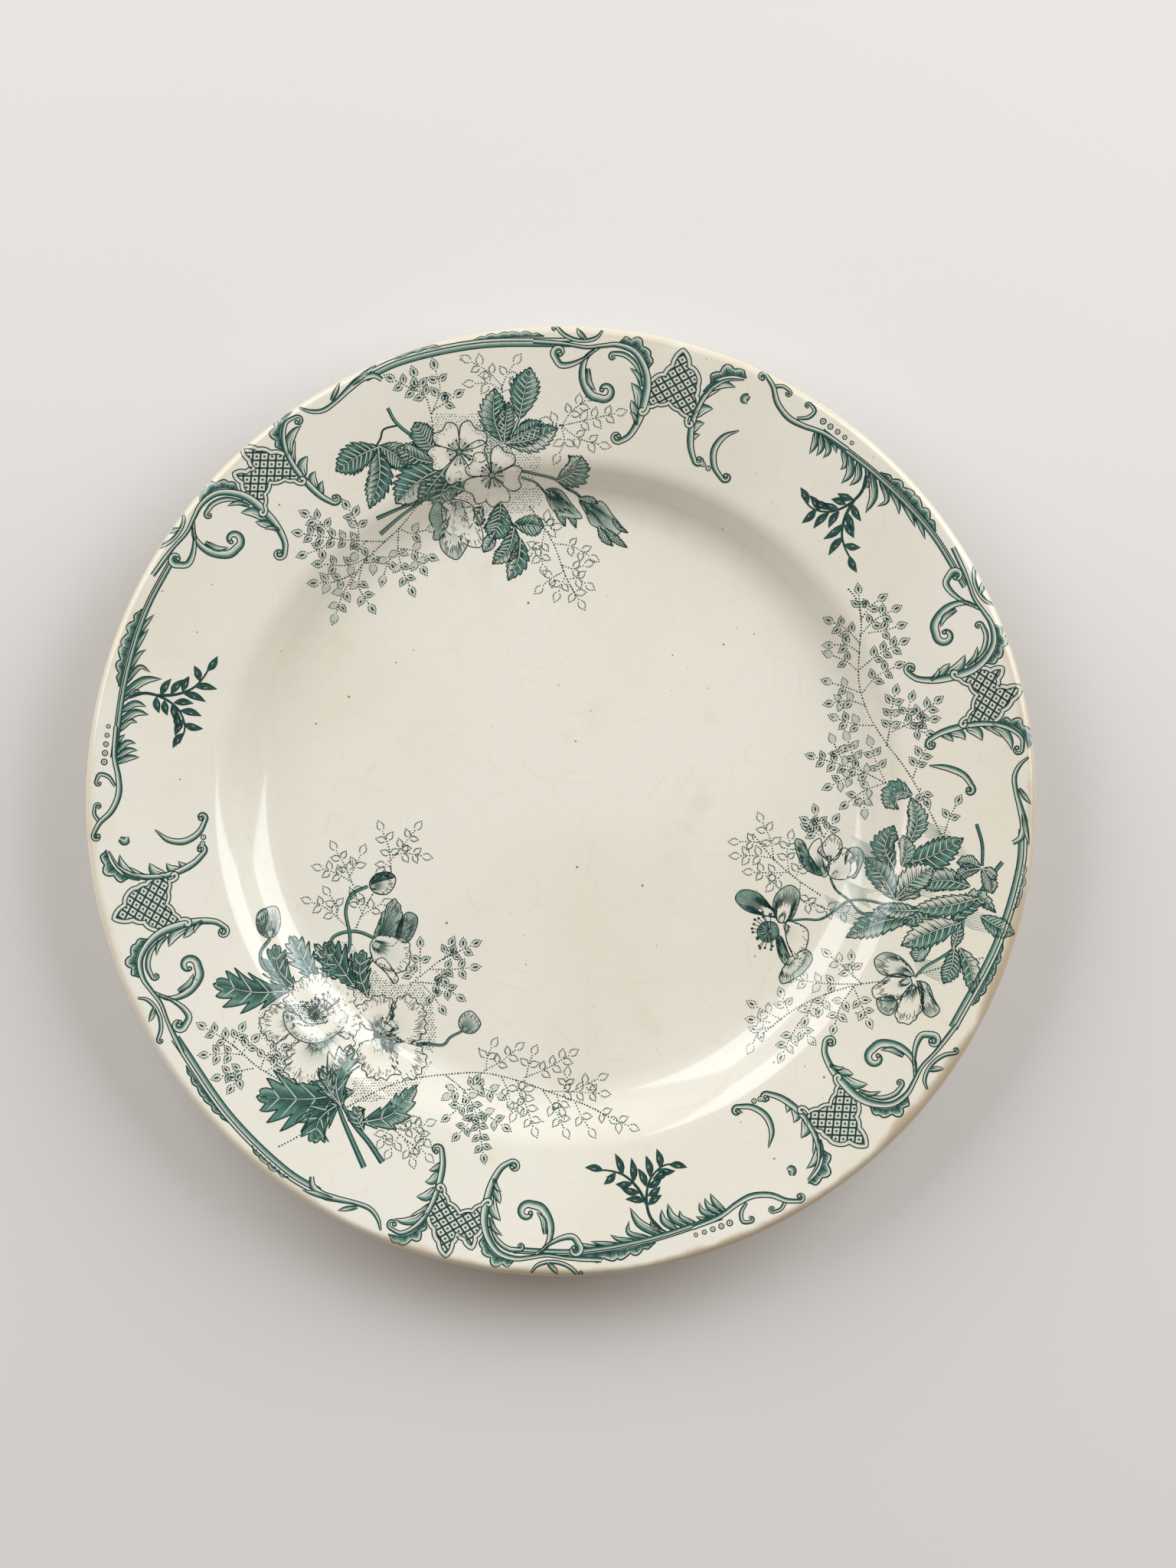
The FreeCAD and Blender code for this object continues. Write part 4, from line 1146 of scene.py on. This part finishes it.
petal(film, [(-44.6, -27), (-42.4, -25), (-41, -27.4), (-40.6, -32), (-43, -37), (-47.6, -35),
    (-46.4, -30.6)], (-46.4, -36), 0.95, 0.2, (0.8, 0.55, 0.3), 0.15)
petal(film, [(-40.8, -30), (-39, -28.4), (-36.8, -29.6), (-37.4, -33.4), (-39.4, -36), (-42, -34.6)],
    (-42.6, -35.6), 0.8, 0.4, (0.6, 0.4, 0.5))
petal(film, [(-47.4, -41), (-44.6, -44), (-42.6, -46.6), (-41.6, -45.6), (-43.4, -42.4), (-45.6, -40)],
    (-47, -40.6), 0.7, 0.2)
film.layer = 1.5
petal(film, [(-48.8, -37), (-47.2, -34.6), (-43, -34.6), (-39.2, -36), (-38.6, -40), (-40.4, -43.6),
    (-44, -43.2), (-47.6, -41.2)], (-48, -36.4), 0.45, 0.1, (0.4, 0.1, 0.0), 0.14)

# %% The poppy spray: the two full poppies
film.layer = 2
petal(film, [(-70, -51), (-68, -47), (-64, -44.2), (-59, -45), (-54.4, -47.4), (-52.6, -51), (-54.6, -55),
    (-62, -57), (-68, -56)], (-62, -55), 0.35, 0.12, frill=0.35)
petal(film, [(-76, -56), (-74, -52.6), (-70.4, -51.4), (-67.4, -54), (-68.6, -58.6), (-71.6, -61),
    (-75, -59.6)], (-66.6, -56), 0.5, 0.2, frill=0.3)
petal(film, [(-55.6, -50.6), (-52, -52.6), (-51.2, -57), (-54, -60.6), (-58, -57.4)], (-59.4, -56.6), 0.5,
    0.2, frill=0.2)
petal(film, [(-66.6, -60.6), (-69.6, -65), (-69.2, -69.4), (-65, -71.4), (-59.6, -70), (-55, -66.4),
    (-52.6, -60.4), (-58, -58.6)], (-61, -59.4), 0.42, 0.14, (0.75, 0.25, 0.0, 0.0), 0.32)
leaves(film, [([(-55.6, -78), (-57, -71.4), (-53.4, -62)], 8.4, {**LOBED, "tones": (0.35, 0.65)}),
    ([(-56, -77), (-59.4, -72), (-60.4, -67)], 4.6, {**LOBED, "tones": (0.6, 0.9)})])
film.layer = 3
petal(film, [(-70.2, -53.4), (-67.6, -53.6), (-64.4, -56.4), (-59, -56), (-54.6, -53), (-55, -57),
    (-58.6, -60.2), (-63, -61.4), (-67.4, -60), (-69.8, -57)], (-62.6, -56.6), 0.0, 0.22,
    (0.1, 0.0, 0.0, 0.25))
stipple(film, [(-69.6, -52.6), (-64, -50.6), (-57, -50.4), (-54.4, -53), (-59, -56.4), (-64, -56.8)],
    0.62, 0.5, 0.9)
stamens(film, (-62.4, -54.6), 4.4, 12, 10, 150, 0.7, eye=1.8)
stamens(film, (-60, -53.6), 4.6, 9, 20, 110, 0.62, eye=1.0)
petal(film, [(-52, -53), (-48, -50.2), (-44.6, -49.8), (-42.6, -52), (-43.4, -56.6), (-46, -58.6),
    (-50.6, -57.4)], (-46.4, -59.4), 0.5, 0.15, frill=0.32)
petal(film, [(-43, -52.6), (-41, -49.8), (-37.6, -50.4), (-35, -53.6), (-34.8, -58), (-37, -61.4),
    (-42, -60)], (-46, -59.4), 0.4, 0.16, frill=0.34)
petal(film, [(-42.6, -62), (-37, -62), (-34.6, -65.2), (-35.8, -69.4), (-40, -70.6), (-43, -67)],
    (-46, -60.4), 0.45, 0.16, frill=0.34)
petal(film, [(-51.4, -62), (-50.8, -67.4), (-47, -70.6), (-42.8, -69.4), (-42, -65), (-45, -61.4)],
    (-46.6, -60), 0.45, 0.16, frill=0.34)
stamens(film, (-46.8, -59.6), 5.0, 17, -70, 150, 0.7, eye=2.4)
print({name: len(made.points) for name, made in FILMS.items()}, "points of ink")

# %% [markdown]
# ## The plate's outline
#
# The plate is a turned shape. Its biscuit outline is a few corners, each with the radius of its
# rounding, and the glaze follows it a fifth of a millimetre outside.

# %% The outline from the centre, over the lip and down to the foot
import bpy

MM = 0.001
GLAZE = 0.2
FACE = [(0, 6.6, 0), (77.03, 6.6, 13), (85.8, 16.34, 9), (119.8, 24.19, 1.5), (119.8, 20.79, 1.5),
        (87.88, 12.81, 6), (78.77, 2.7, 8.5), (71.98, 2.7, 1), (71.18, 0.5, 0)]
RECESS = [(0, 2.2, 0), (67.2, 2.2, 1), (67.82, 0.5, 0)]


def rounded(corners, step=0.16):
    """The line through the corners, with an arc of the given radius at each."""
    points = [np.array(corners[0][:2], float)]
    for before, here, after in zip(corners, corners[1:], corners[2:]):
        corner = np.array(here[:2], float)
        back = np.array(before[:2]) - corner
        ahead = np.array(after[:2]) - corner
        back /= np.linalg.norm(back)
        ahead /= np.linalg.norm(ahead)
        half = math.acos(np.clip(back @ ahead, -1, 1)) / 2
        middle = (back + ahead) / np.linalg.norm(back + ahead)
        centre = corner + middle * here[2] / math.sin(half)
        start = corner + back * here[2] / math.tan(half) - centre
        end = corner + ahead * here[2] / math.tan(half) - centre
        sweep = math.pi - 2 * half
        count = max(5, math.ceil(sweep / step))
        for t in np.linspace(0, 1, count + 1):
            arm = start * math.sin((1 - t) * sweep) + end * math.sin(t * sweep)
            points.append(centre + arm / math.sin(sweep))
    points.append(np.array(corners[-1][:2], float))
    return np.array(points)


# %% Finer steps, and the line of the glaze
def filled_in(line, step):
    """The same line with extra points on its long straight stretches."""
    pieces = []
    for first, last in zip(line[:-1], line[1:]):
        count = max(1, math.ceil(np.linalg.norm(last - first) / step))
        pieces.append(blend(first, last, np.linspace(0, 1, count, endpoint=False)[:, None]))
    return np.vstack(pieces + [line[-1:]])


def grown(line, distance):
    """The line moved to its left by a distance."""
    return line + sideways(line) * distance


glazed_line = grown(filled_in(rounded(FACE), 1.5), GLAZE)
glazed_line[0, 0] = 0
lip = int(np.argmax(glazed_line[:, 0]))
face_r, face_z = glazed_line[: lip + 1, 0], glazed_line[: lip + 1, 1]
EDGE = face_r[-1] - 0.25  # the print stops just inside the lip's widest ring
print("The glazed outline has", len(glazed_line), "points; the lip's top is at", round(face_z.max(), 3),
    "mm")

# %% [markdown]
# A plate pressed by hand isn't quite true. A slow wave of a few hundredths of a millimetre makes
# its reflections bend a little. The print uses the same wave, so it never leaves the face.

# %% The face's height and slope at any place
WAVE = 0.018
SINK = 7.5  # in waves: the face lies this far down, so that the print's layers stay below the lip


def wave(x, y):
    """How far the hand-pressed face lies under the true one, in millimetres."""
    slow = np.sin(x / 31 + 0.7) * np.sin(y / 27 + 1.9)
    quick = np.sin((x + y) / 16 + 0.4) * np.sin((x - y) / 19)
    return WAVE * (slow + 0.6 * quick - SINK)


def face_height(x, y):
    return np.interp(np.hypot(x, y), face_r, face_z) + wave(x, y)


def face_normals(x, y, reach=0.15):
    """Unit normals of the face at those places."""
    slope_x = (face_height(x + reach, y) - face_height(x - reach, y)) / (2 * reach)
    slope_y = (face_height(x, y + reach) - face_height(x, y - reach)) / (2 * reach)
    up = np.stack([-slope_x, -slope_y, np.ones_like(slope_x)], 1)
    return up / np.linalg.norm(up, axis=1)[:, None]


print("The middle of the well lies at", round(float(face_height(0.0, 0.0)), 3), "mm")


# %% [markdown]
# ## Turning the glaze
#
# The outline and a copy a little inside it make a closed ribbon, which is turned round the axis
# into a closed skin of glaze. A second, smaller skin covers the recess inside the foot.

# %% Turn a closed outline into a mesh
AROUND = 288
SKIN = 0.1


def turned(name, line, flip=1):
    """A closed skin, as thick as SKIN, turned from an outline that starts on the axis."""
    inner = grown(line, -SKIN * flip)
    inner[0, 0] = 0
    ribbon = np.vstack([line[1:], inner[::-1][:-1]])
    angles = np.linspace(0, 2 * math.pi, AROUND, endpoint=False)
    x = ribbon[:, 0] * np.cos(angles)[:, None]
    y = ribbon[:, 0] * np.sin(angles)[:, None]
    z = ribbon[:, 1] + wave(x, y)
    points = np.stack([x, y, z], -1).reshape(-1, 3)
    poles = [[0, 0, line[0, 1] + wave(0, 0)], [0, 0, inner[0, 1] + wave(0, 0)]]
    count = len(ribbon)
    number = np.arange(AROUND * count).reshape(AROUND, count)
    after = np.roll(number, -1, axis=0)
    faces = np.stack([number[:, :-1], number[:, 1:], after[:, 1:], after[:, :-1]],
        -1).reshape(-1, 4).tolist()
    first, last = len(points), len(points) + 1
    faces += [[first, a, b] for a, b in zip(number[:, 0], after[:, 0])]
    faces += [[last, b, a] for a, b in zip(number[:, -1], after[:, -1])]
    if flip > 0:
        faces = [face[::-1] for face in faces]
    mesh = bpy.data.meshes.new(name)
    mesh.from_pydata((np.vstack([points, poles]) * MM).tolist(), [],
        [[int(v) for v in face] for face in faces])
    mesh.polygons.foreach_set("use_smooth", [True] * len(mesh.polygons))
    mesh.update()
    made = bpy.data.objects.new(name, mesh)
    bpy.context.scene.collection.objects.link(made)
    print(name, "has", len(mesh.polygons), "faces")
    return made


# %% The coat of glaze, and the glaze inside the foot
glaze = turned("glaze", glazed_line)
recess_line = grown(filled_in(rounded(RECESS), 2.0), -GLAZE)
recess_line[0, 0] = 0
foot_glaze = turned("foot_glaze", recess_line, flip=-1)
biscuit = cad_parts["biscuit_body"]

# %% [markdown]
# ## Laying the print on the plate
#
# Each film is draped over the face: a point's height is the face's height there, plus its layer.
# The points take the face's own normals, so that the ink shines as the glaze round it does.

# %% Drape a film on the face
BED = 0.04
LAYER = 0.012


def drape(name, film):
    """A mesh of a film of ink, laid on the glaze."""
    flat = np.array(film.points)
    flat *= np.minimum(1, EDGE / np.linalg.norm(flat, axis=1))[:, None]
    x, y = flat[:, 0], flat[:, 1]
    z = face_height(x, y) + BED + LAYER * np.array(film.layers)
    faces = []
    for face in film.faces:
        ax, ay = (flat[face[1]] - flat[face[0]])
        bx, by = (flat[face[2]] - flat[face[0]])
        faces.append(face if ax * by - ay * bx > 0 else face[::-1])
    mesh = bpy.data.meshes.new(name)
    mesh.from_pydata((np.stack([x, y, z], 1) * MM).tolist(), [], faces)
    mesh.attributes.new("tone", "FLOAT", "POINT").data.foreach_set("value",
        np.array(film.tones, np.float32))
    mesh.polygons.foreach_set("use_smooth", [True] * len(mesh.polygons))
    mesh.update()
    mesh.normals_split_custom_set_from_vertices(face_normals(x, y).tolist())
    made = bpy.data.objects.new(name, mesh)
    bpy.context.scene.collection.objects.link(made)
    triangles = sum(len(face) - 2 for face in faces)
    print(name, "has", triangles, "triangles")
    return made


prints = [drape(name, film) for name, film in FILMS.items()]

# %% [markdown]
# ## Materials: shared effects
#
# The glaze, the print and the glazed recess share one node group for age: the cream colour with
# slow warm stains, dark specks, faint crazing and the brown worn lip. It gives a colour and a
# height for a little bump, and each material keeps its own Principled BSDF.

# %% Small helpers for nodes
def node(tree, kind, **settings):
    """A node with its settings; a key that names an input sets that input."""
    made = tree.nodes.new("ShaderNode" + kind)
    for key, value in settings.items():
        if hasattr(made, key):
            setattr(made, key, value)
        else:
            made.inputs[key.replace("_", " ")].default_value = value
    return made


def maths(tree, operation, a, b=0.0, clamp=False):
    """A Math node's output; a and b are numbers or sockets."""
    made = tree.nodes.new("ShaderNodeMath")
    made.operation = operation
    made.use_clamp = clamp
    for socket, value in zip(made.inputs, (a, b)):
        if isinstance(value, (int, float)):
            socket.default_value = value
        else:
            tree.links.new(value, socket)
    return made.outputs[0]


def ramp(tree, value, low, high):
    """A mask that rises smoothly from 0 at low to 1 at high."""
    made = tree.nodes.new("ShaderNodeMapRange")
    made.interpolation_type = "SMOOTHSTEP"
    tree.links.new(value, made.inputs["Value"])
    made.inputs["From Min"].default_value = low
    made.inputs["From Max"].default_value = high
    return made.outputs["Result"]


def tint(tree, mask, base, colour, strength=1.0):
    """The base colour, taken towards another by a mask."""
    made = tree.nodes.new("ShaderNodeMix")
    made.data_type = "RGBA"
    tree.links.new(maths(tree, "MULTIPLY", mask, strength), made.inputs["Factor"])
    for socket, value in ((made.inputs["A"], base), (made.inputs["B"], colour)):
        if isinstance(value, tuple):
            socket.default_value = value
        else:
            tree.links.new(value, socket)
    return made.outputs["Result"]


def linear(text):
    """A colour from its six hexadecimal digits, as light."""
    values = [int(text[k : k + 2], 16) / 255 for k in (0, 2, 4)]
    return (*[v / 12.92 if v <= 0.04045 else ((v + 0.055) / 1.055) ** 2.4 for v in values], 1.0)


CREAM = linear("e9e4d6")
STAIN = linear("d6c6a4")
RUST = linear("7a5636")
SPECK = linear("6b4a38")
INK = linear("0a3230")
INK_PALE = linear("1d5a4c")
INK_WASH = linear("6f9e8e")
CLAY = linear("cdb99b")
CLAY_DUST = linear("b09a7c")

# %% [markdown]
# The group is built once. Its inputs are the clean glaze colour, the colour of stains and how
# worn the lip is, so that each material can set its own. Noise makes the stains, one set of
# Voronoi cells gives a speck in some of its cells, and the edges of another are the crazing.
# The lip is found by the distance from the axis, and it is worn most at the lower right.

# %% The group for an old glaze: sockets and noise
def old_glaze():
    group = bpy.data.node_groups.new("old glaze", "ShaderNodeTree")
    for name, kind in (("Glaze", "Color"), ("Stain", "Color"), ("Wear", "Float")):
        group.interface.new_socket(name, in_out="INPUT", socket_type="NodeSocket" + kind)
    for name, kind in (("Color", "Color"), ("Height", "Float")):
        group.interface.new_socket(name, in_out="OUTPUT", socket_type="NodeSocket" + kind)
    given = group.nodes.new("NodeGroupInput").outputs
    out = group.nodes.new("NodeGroupOutput")
    place = node(group, "TexCoord").outputs["Object"]
    apart = node(group, "SeparateXYZ")
    group.links.new(place, apart.inputs[0])
    x, y = apart.outputs["X"], apart.outputs["Y"]
    squares = maths(group, "ADD", maths(group, "MULTIPLY", x, x), maths(group, "MULTIPLY", y, y))
    radius = maths(group, "SQRT", squares)

    def noise(scale, detail=3.0, rough=0.55):
        made = node(group, "TexNoise", Scale=scale, Detail=detail, Roughness=rough)
        group.links.new(place, made.inputs["Vector"])
        return made.outputs["Fac"]

    colour = tint(group, ramp(group, noise(14.0), 0.42, 0.72), given["Glaze"], given["Stain"], 0.22)
    colour = tint(group, ramp(group, noise(46.0, 5.0, 0.6), 0.6, 0.78), colour, given["Stain"], 0.28)
    cells = node(group, "TexVoronoi", Scale=240.0)
    group.links.new(place, cells.inputs["Vector"])
    chosen = node(group, "SeparateColor")
    group.links.new(cells.outputs["Color"], chosen.inputs[0])
    size = maths(group, "MULTIPLY", maths(group, "SUBTRACT", chosen.outputs[0], 0.55), 0.2)
    speck = maths(group, "LESS_THAN", cells.outputs["Distance"], size)
    colour = tint(group, speck, colour, SPECK, 0.75)
    cracks = node(group, "TexVoronoi", feature="DISTANCE_TO_EDGE", Scale=110.0, Randomness=0.9)
    group.links.new(place, cracks.inputs["Vector"])
    craze = maths(group, "SUBTRACT", 1.0, ramp(group, cracks.outputs["Distance"], 0.0, 0.022))
    colour = tint(group, craze, colour, given["Stain"], 0.16)
    ragged = maths(group, "MULTIPLY", maths(group, "SUBTRACT", noise(60.0, 4.0), 0.5), 0.006)
    worn = ramp(group, maths(group, "ADD", radius, ragged), 0.1172, 0.1196)
    lip = maths(group, "MULTIPLY", worn, given["Wear"])
    lower_right = ramp(group, maths(group, "SUBTRACT", maths(group, "MULTIPLY", x, 0.8), y), 0.02, 0.15)
    colour = tint(group, maths(group, "MULTIPLY", lip, lower_right), colour, RUST, 0.75)
    colour = tint(group, lip, colour, given["Stain"], 0.45)
    height = maths(group, "ADD", maths(group, "MULTIPLY", noise(180.0, 2.0), 0.4), noise(22.0, 2.0))
    group.links.new(colour, out.inputs["Color"])
    group.links.new(height, out.inputs["Height"])
    return group


OLD_GLAZE = old_glaze()


# %% [markdown]
# The glaze is glossy and clear over a cream body. The print lies under the same glaze, so its
# material is the glaze again, with ink mixed in by the tone that each point of the film carries:
# thin ink is a pale green wash, and full ink is nearly black. A fine noise breaks the ink up.

# %% The glaze
def shiny(material, colour, height, roughness=0.13):
    """Ends a material's tree with a glossy coat over its colour."""
    tree = material.node_tree
    shader = tree.nodes["Principled BSDF"]
    shader.inputs["Roughness"].default_value = roughness
    shader.inputs["IOR"].default_value = 1.52
    shader.inputs["Coat Weight"].default_value = 0.35
    shader.inputs["Coat Roughness"].default_value = 0.05
    bump = node(tree, "Bump", Strength=0.12, Distance=0.0004)
    tree.links.new(height, bump.inputs["Height"])
    tree.links.new(bump.outputs[0], shader.inputs["Normal"])
    tree.links.new(colour, shader.inputs["Base Color"])


def new_material(name):
    material = bpy.data.materials.new(name)
    material.use_nodes = True
    age = material.node_tree.nodes.new("ShaderNodeGroup")
    age.node_tree = OLD_GLAZE
    age.inputs["Glaze"].default_value = CREAM
    age.inputs["Stain"].default_value = STAIN
    age.inputs["Wear"].default_value = 1.0
    return material, material.node_tree, age


glaze_finish, tree, age = new_material("cream glaze")
shiny(glaze_finish, age.outputs["Color"], age.outputs["Height"])

# %% The print
print_finish, tree, age = new_material("green print")
tone = node(tree, "Attribute", attribute_name="tone").outputs["Fac"]
place = node(tree, "TexCoord").outputs["Object"]
grain = node(tree, "TexNoise", Scale=900.0, Detail=2.0)
patches = node(tree, "TexNoise", Scale=70.0, Detail=3.0)
for texture in (grain, patches):
    tree.links.new(place, texture.inputs["Vector"])
broken = maths(tree, "MULTIPLY", maths(tree, "SUBTRACT", grain.outputs["Fac"], 0.5), 0.35)
ink_tone = maths(tree, "MULTIPLY", tone, maths(tree, "ADD", 0.98, broken), clamp=True)
ink = tint(tree, ramp(tree, patches.outputs["Fac"], 0.35, 0.75), INK, INK_PALE, 0.3)
thin = maths(tree, "MULTIPLY", ink_tone, 2.4, clamp=True)
washed = tint(tree, thin, age.outputs["Color"], INK_WASH)
shiny(print_finish, tint(tree, maths(tree, "POWER", ink_tone, 1.2), washed, ink), age.outputs["Height"])

# %% [markdown]
# Only the ring that the plate stands on is bare. Its clay is matt and a little dusty.

# %% The bare clay
clay_finish = bpy.data.materials.new("bare clay")
clay_finish.use_nodes = True
tree = clay_finish.node_tree
dust = node(tree, "TexNoise", Scale=420.0, Detail=4.0)
tree.links.new(node(tree, "TexCoord").outputs["Object"], dust.inputs["Vector"])
clay = tint(tree, ramp(tree, dust.outputs["Fac"], 0.35, 0.7), CLAY, CLAY_DUST, 0.6)
tree.links.new(clay, tree.nodes["Principled BSDF"].inputs["Base Color"])
tree.nodes["Principled BSDF"].inputs["Roughness"].default_value = 0.85
print("Materials:", [made.name for made in (glaze_finish, print_finish, clay_finish)])

# %% [markdown]
# ## Telling the frame what each piece is
# The imported model keeps its plain shapes for the simulation. Each fine piece gets its finish and
# rides on the root body, and the plain solids that the two skins of glaze stand for are hidden. Each fine
# piece is told which body it
# rides on, which plain solid it stands for, and which slot of the record it takes its finish from.
# The biscuit's shape is right as it is, so that solid stays and only gets its clay.

# %% Finishes, slots and what each piece stands for
glaze.data.materials.append(glaze_finish)
foot_glaze.data.materials.append(glaze_finish)
for slot in biscuit.material_slots:
    slot.material = clay_finish
for piece in prints:
    piece.data.materials.append(print_finish)
    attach(piece, "root")
for piece, node_name in ((glaze, "glaze_coat"), (foot_glaze, "glaze_inside_foot")):
    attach(piece, "root")
    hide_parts(node_name)

# %% [markdown]
# ## Floor, light and camera
#
# Two tall soft lights stand to the right and to the upper left, and the rest is a low warm room.
# Their reflections lie in the wall of the well. The camera looks straight down on the plate.

# %% The floor
FLOOR = 3.0
corners = [(-FLOOR, -FLOOR, 0), (FLOOR, -FLOOR, 0), (FLOOR, FLOOR, 0), (-FLOOR, FLOOR, 0)]
floor_mesh = bpy.data.meshes.new("floor")
floor_mesh.from_pydata(corners, [], [(0, 1, 2, 3)])
floor = bpy.data.objects.new("floor", floor_mesh)
bpy.context.scene.collection.objects.link(floor)
floor_finish = bpy.data.materials.new("floor paper")
floor_finish.use_nodes = True
paper = floor_finish.node_tree.nodes["Principled BSDF"]
paper.inputs["Base Color"].default_value = linear("dedad6")
paper.inputs["Roughness"].default_value = 0.9
floor.data.materials.append(floor_finish)

# %% [markdown]
# A glossy plate shows its lamps as bright patches, so their size and place matter more than their
# power. Large lamps give soft shadows and long soft lights in the wall. The room itself is a
# low warm grey, which warms the parts that the lamps do not reach.

# %% The lamps
def lamp(name, azimuth, elevation, reach, width, height, watts, colour):
    """A tall soft lamp that faces the plate."""
    data = bpy.data.lights.new(name, "AREA")
    data.shape = "RECTANGLE"
    data.size, data.size_y = width, height
    data.energy = watts
    data.color = colour
    made = bpy.data.objects.new(name, data)
    a, e = math.radians(azimuth), math.radians(elevation)
    out = reach * math.cos(e)
    made.location = (out * math.cos(a), out * math.sin(a), reach * math.sin(e))
    made.rotation_euler = (math.pi / 2 - e, 0, a + math.pi / 2)
    bpy.context.scene.collection.objects.link(made)


DAYLIGHT = (0.97, 1.02, 1.08)
lamp("window", 30, 34, 1.3, 1.0, 1.35, 15.0, DAYLIGHT)
lamp("far window", 142, 34, 1.3, 1.1, 1.35, 13.5, DAYLIGHT)
print("Lamps:", [made.name for made in bpy.data.lights])

# %% The room
world = bpy.data.worlds.new("room")
bpy.context.scene.world = world
world.use_nodes = True
room = world.node_tree.nodes["Background"]
room.inputs["Color"].default_value = (1.0, 0.88, 0.74, 1.0)
room.inputs["Strength"].default_value = 0.27

# %% [markdown]
# The camera hangs over the plate and looks straight down, which is how a plate is seen when it
# stands on display. Its lens follows from how much of the rim's plane the picture takes in.

# %% The camera
camera_data = bpy.data.cameras.new("camera")
camera = bpy.data.objects.new("camera", camera_data)
bpy.context.scene.collection.objects.link(camera)
DISTANCE = 1.5
FRAME_HEIGHT = 0.396
RIM_HEIGHT = 0.022
camera.location = (0.0068, 0.0043, DISTANCE + RIM_HEIGHT)
camera_data.lens = camera_data.sensor_width * DISTANCE / FRAME_HEIGHT
bpy.context.scene.camera = camera
bpy.context.scene.view_settings.view_transform = "Standard"
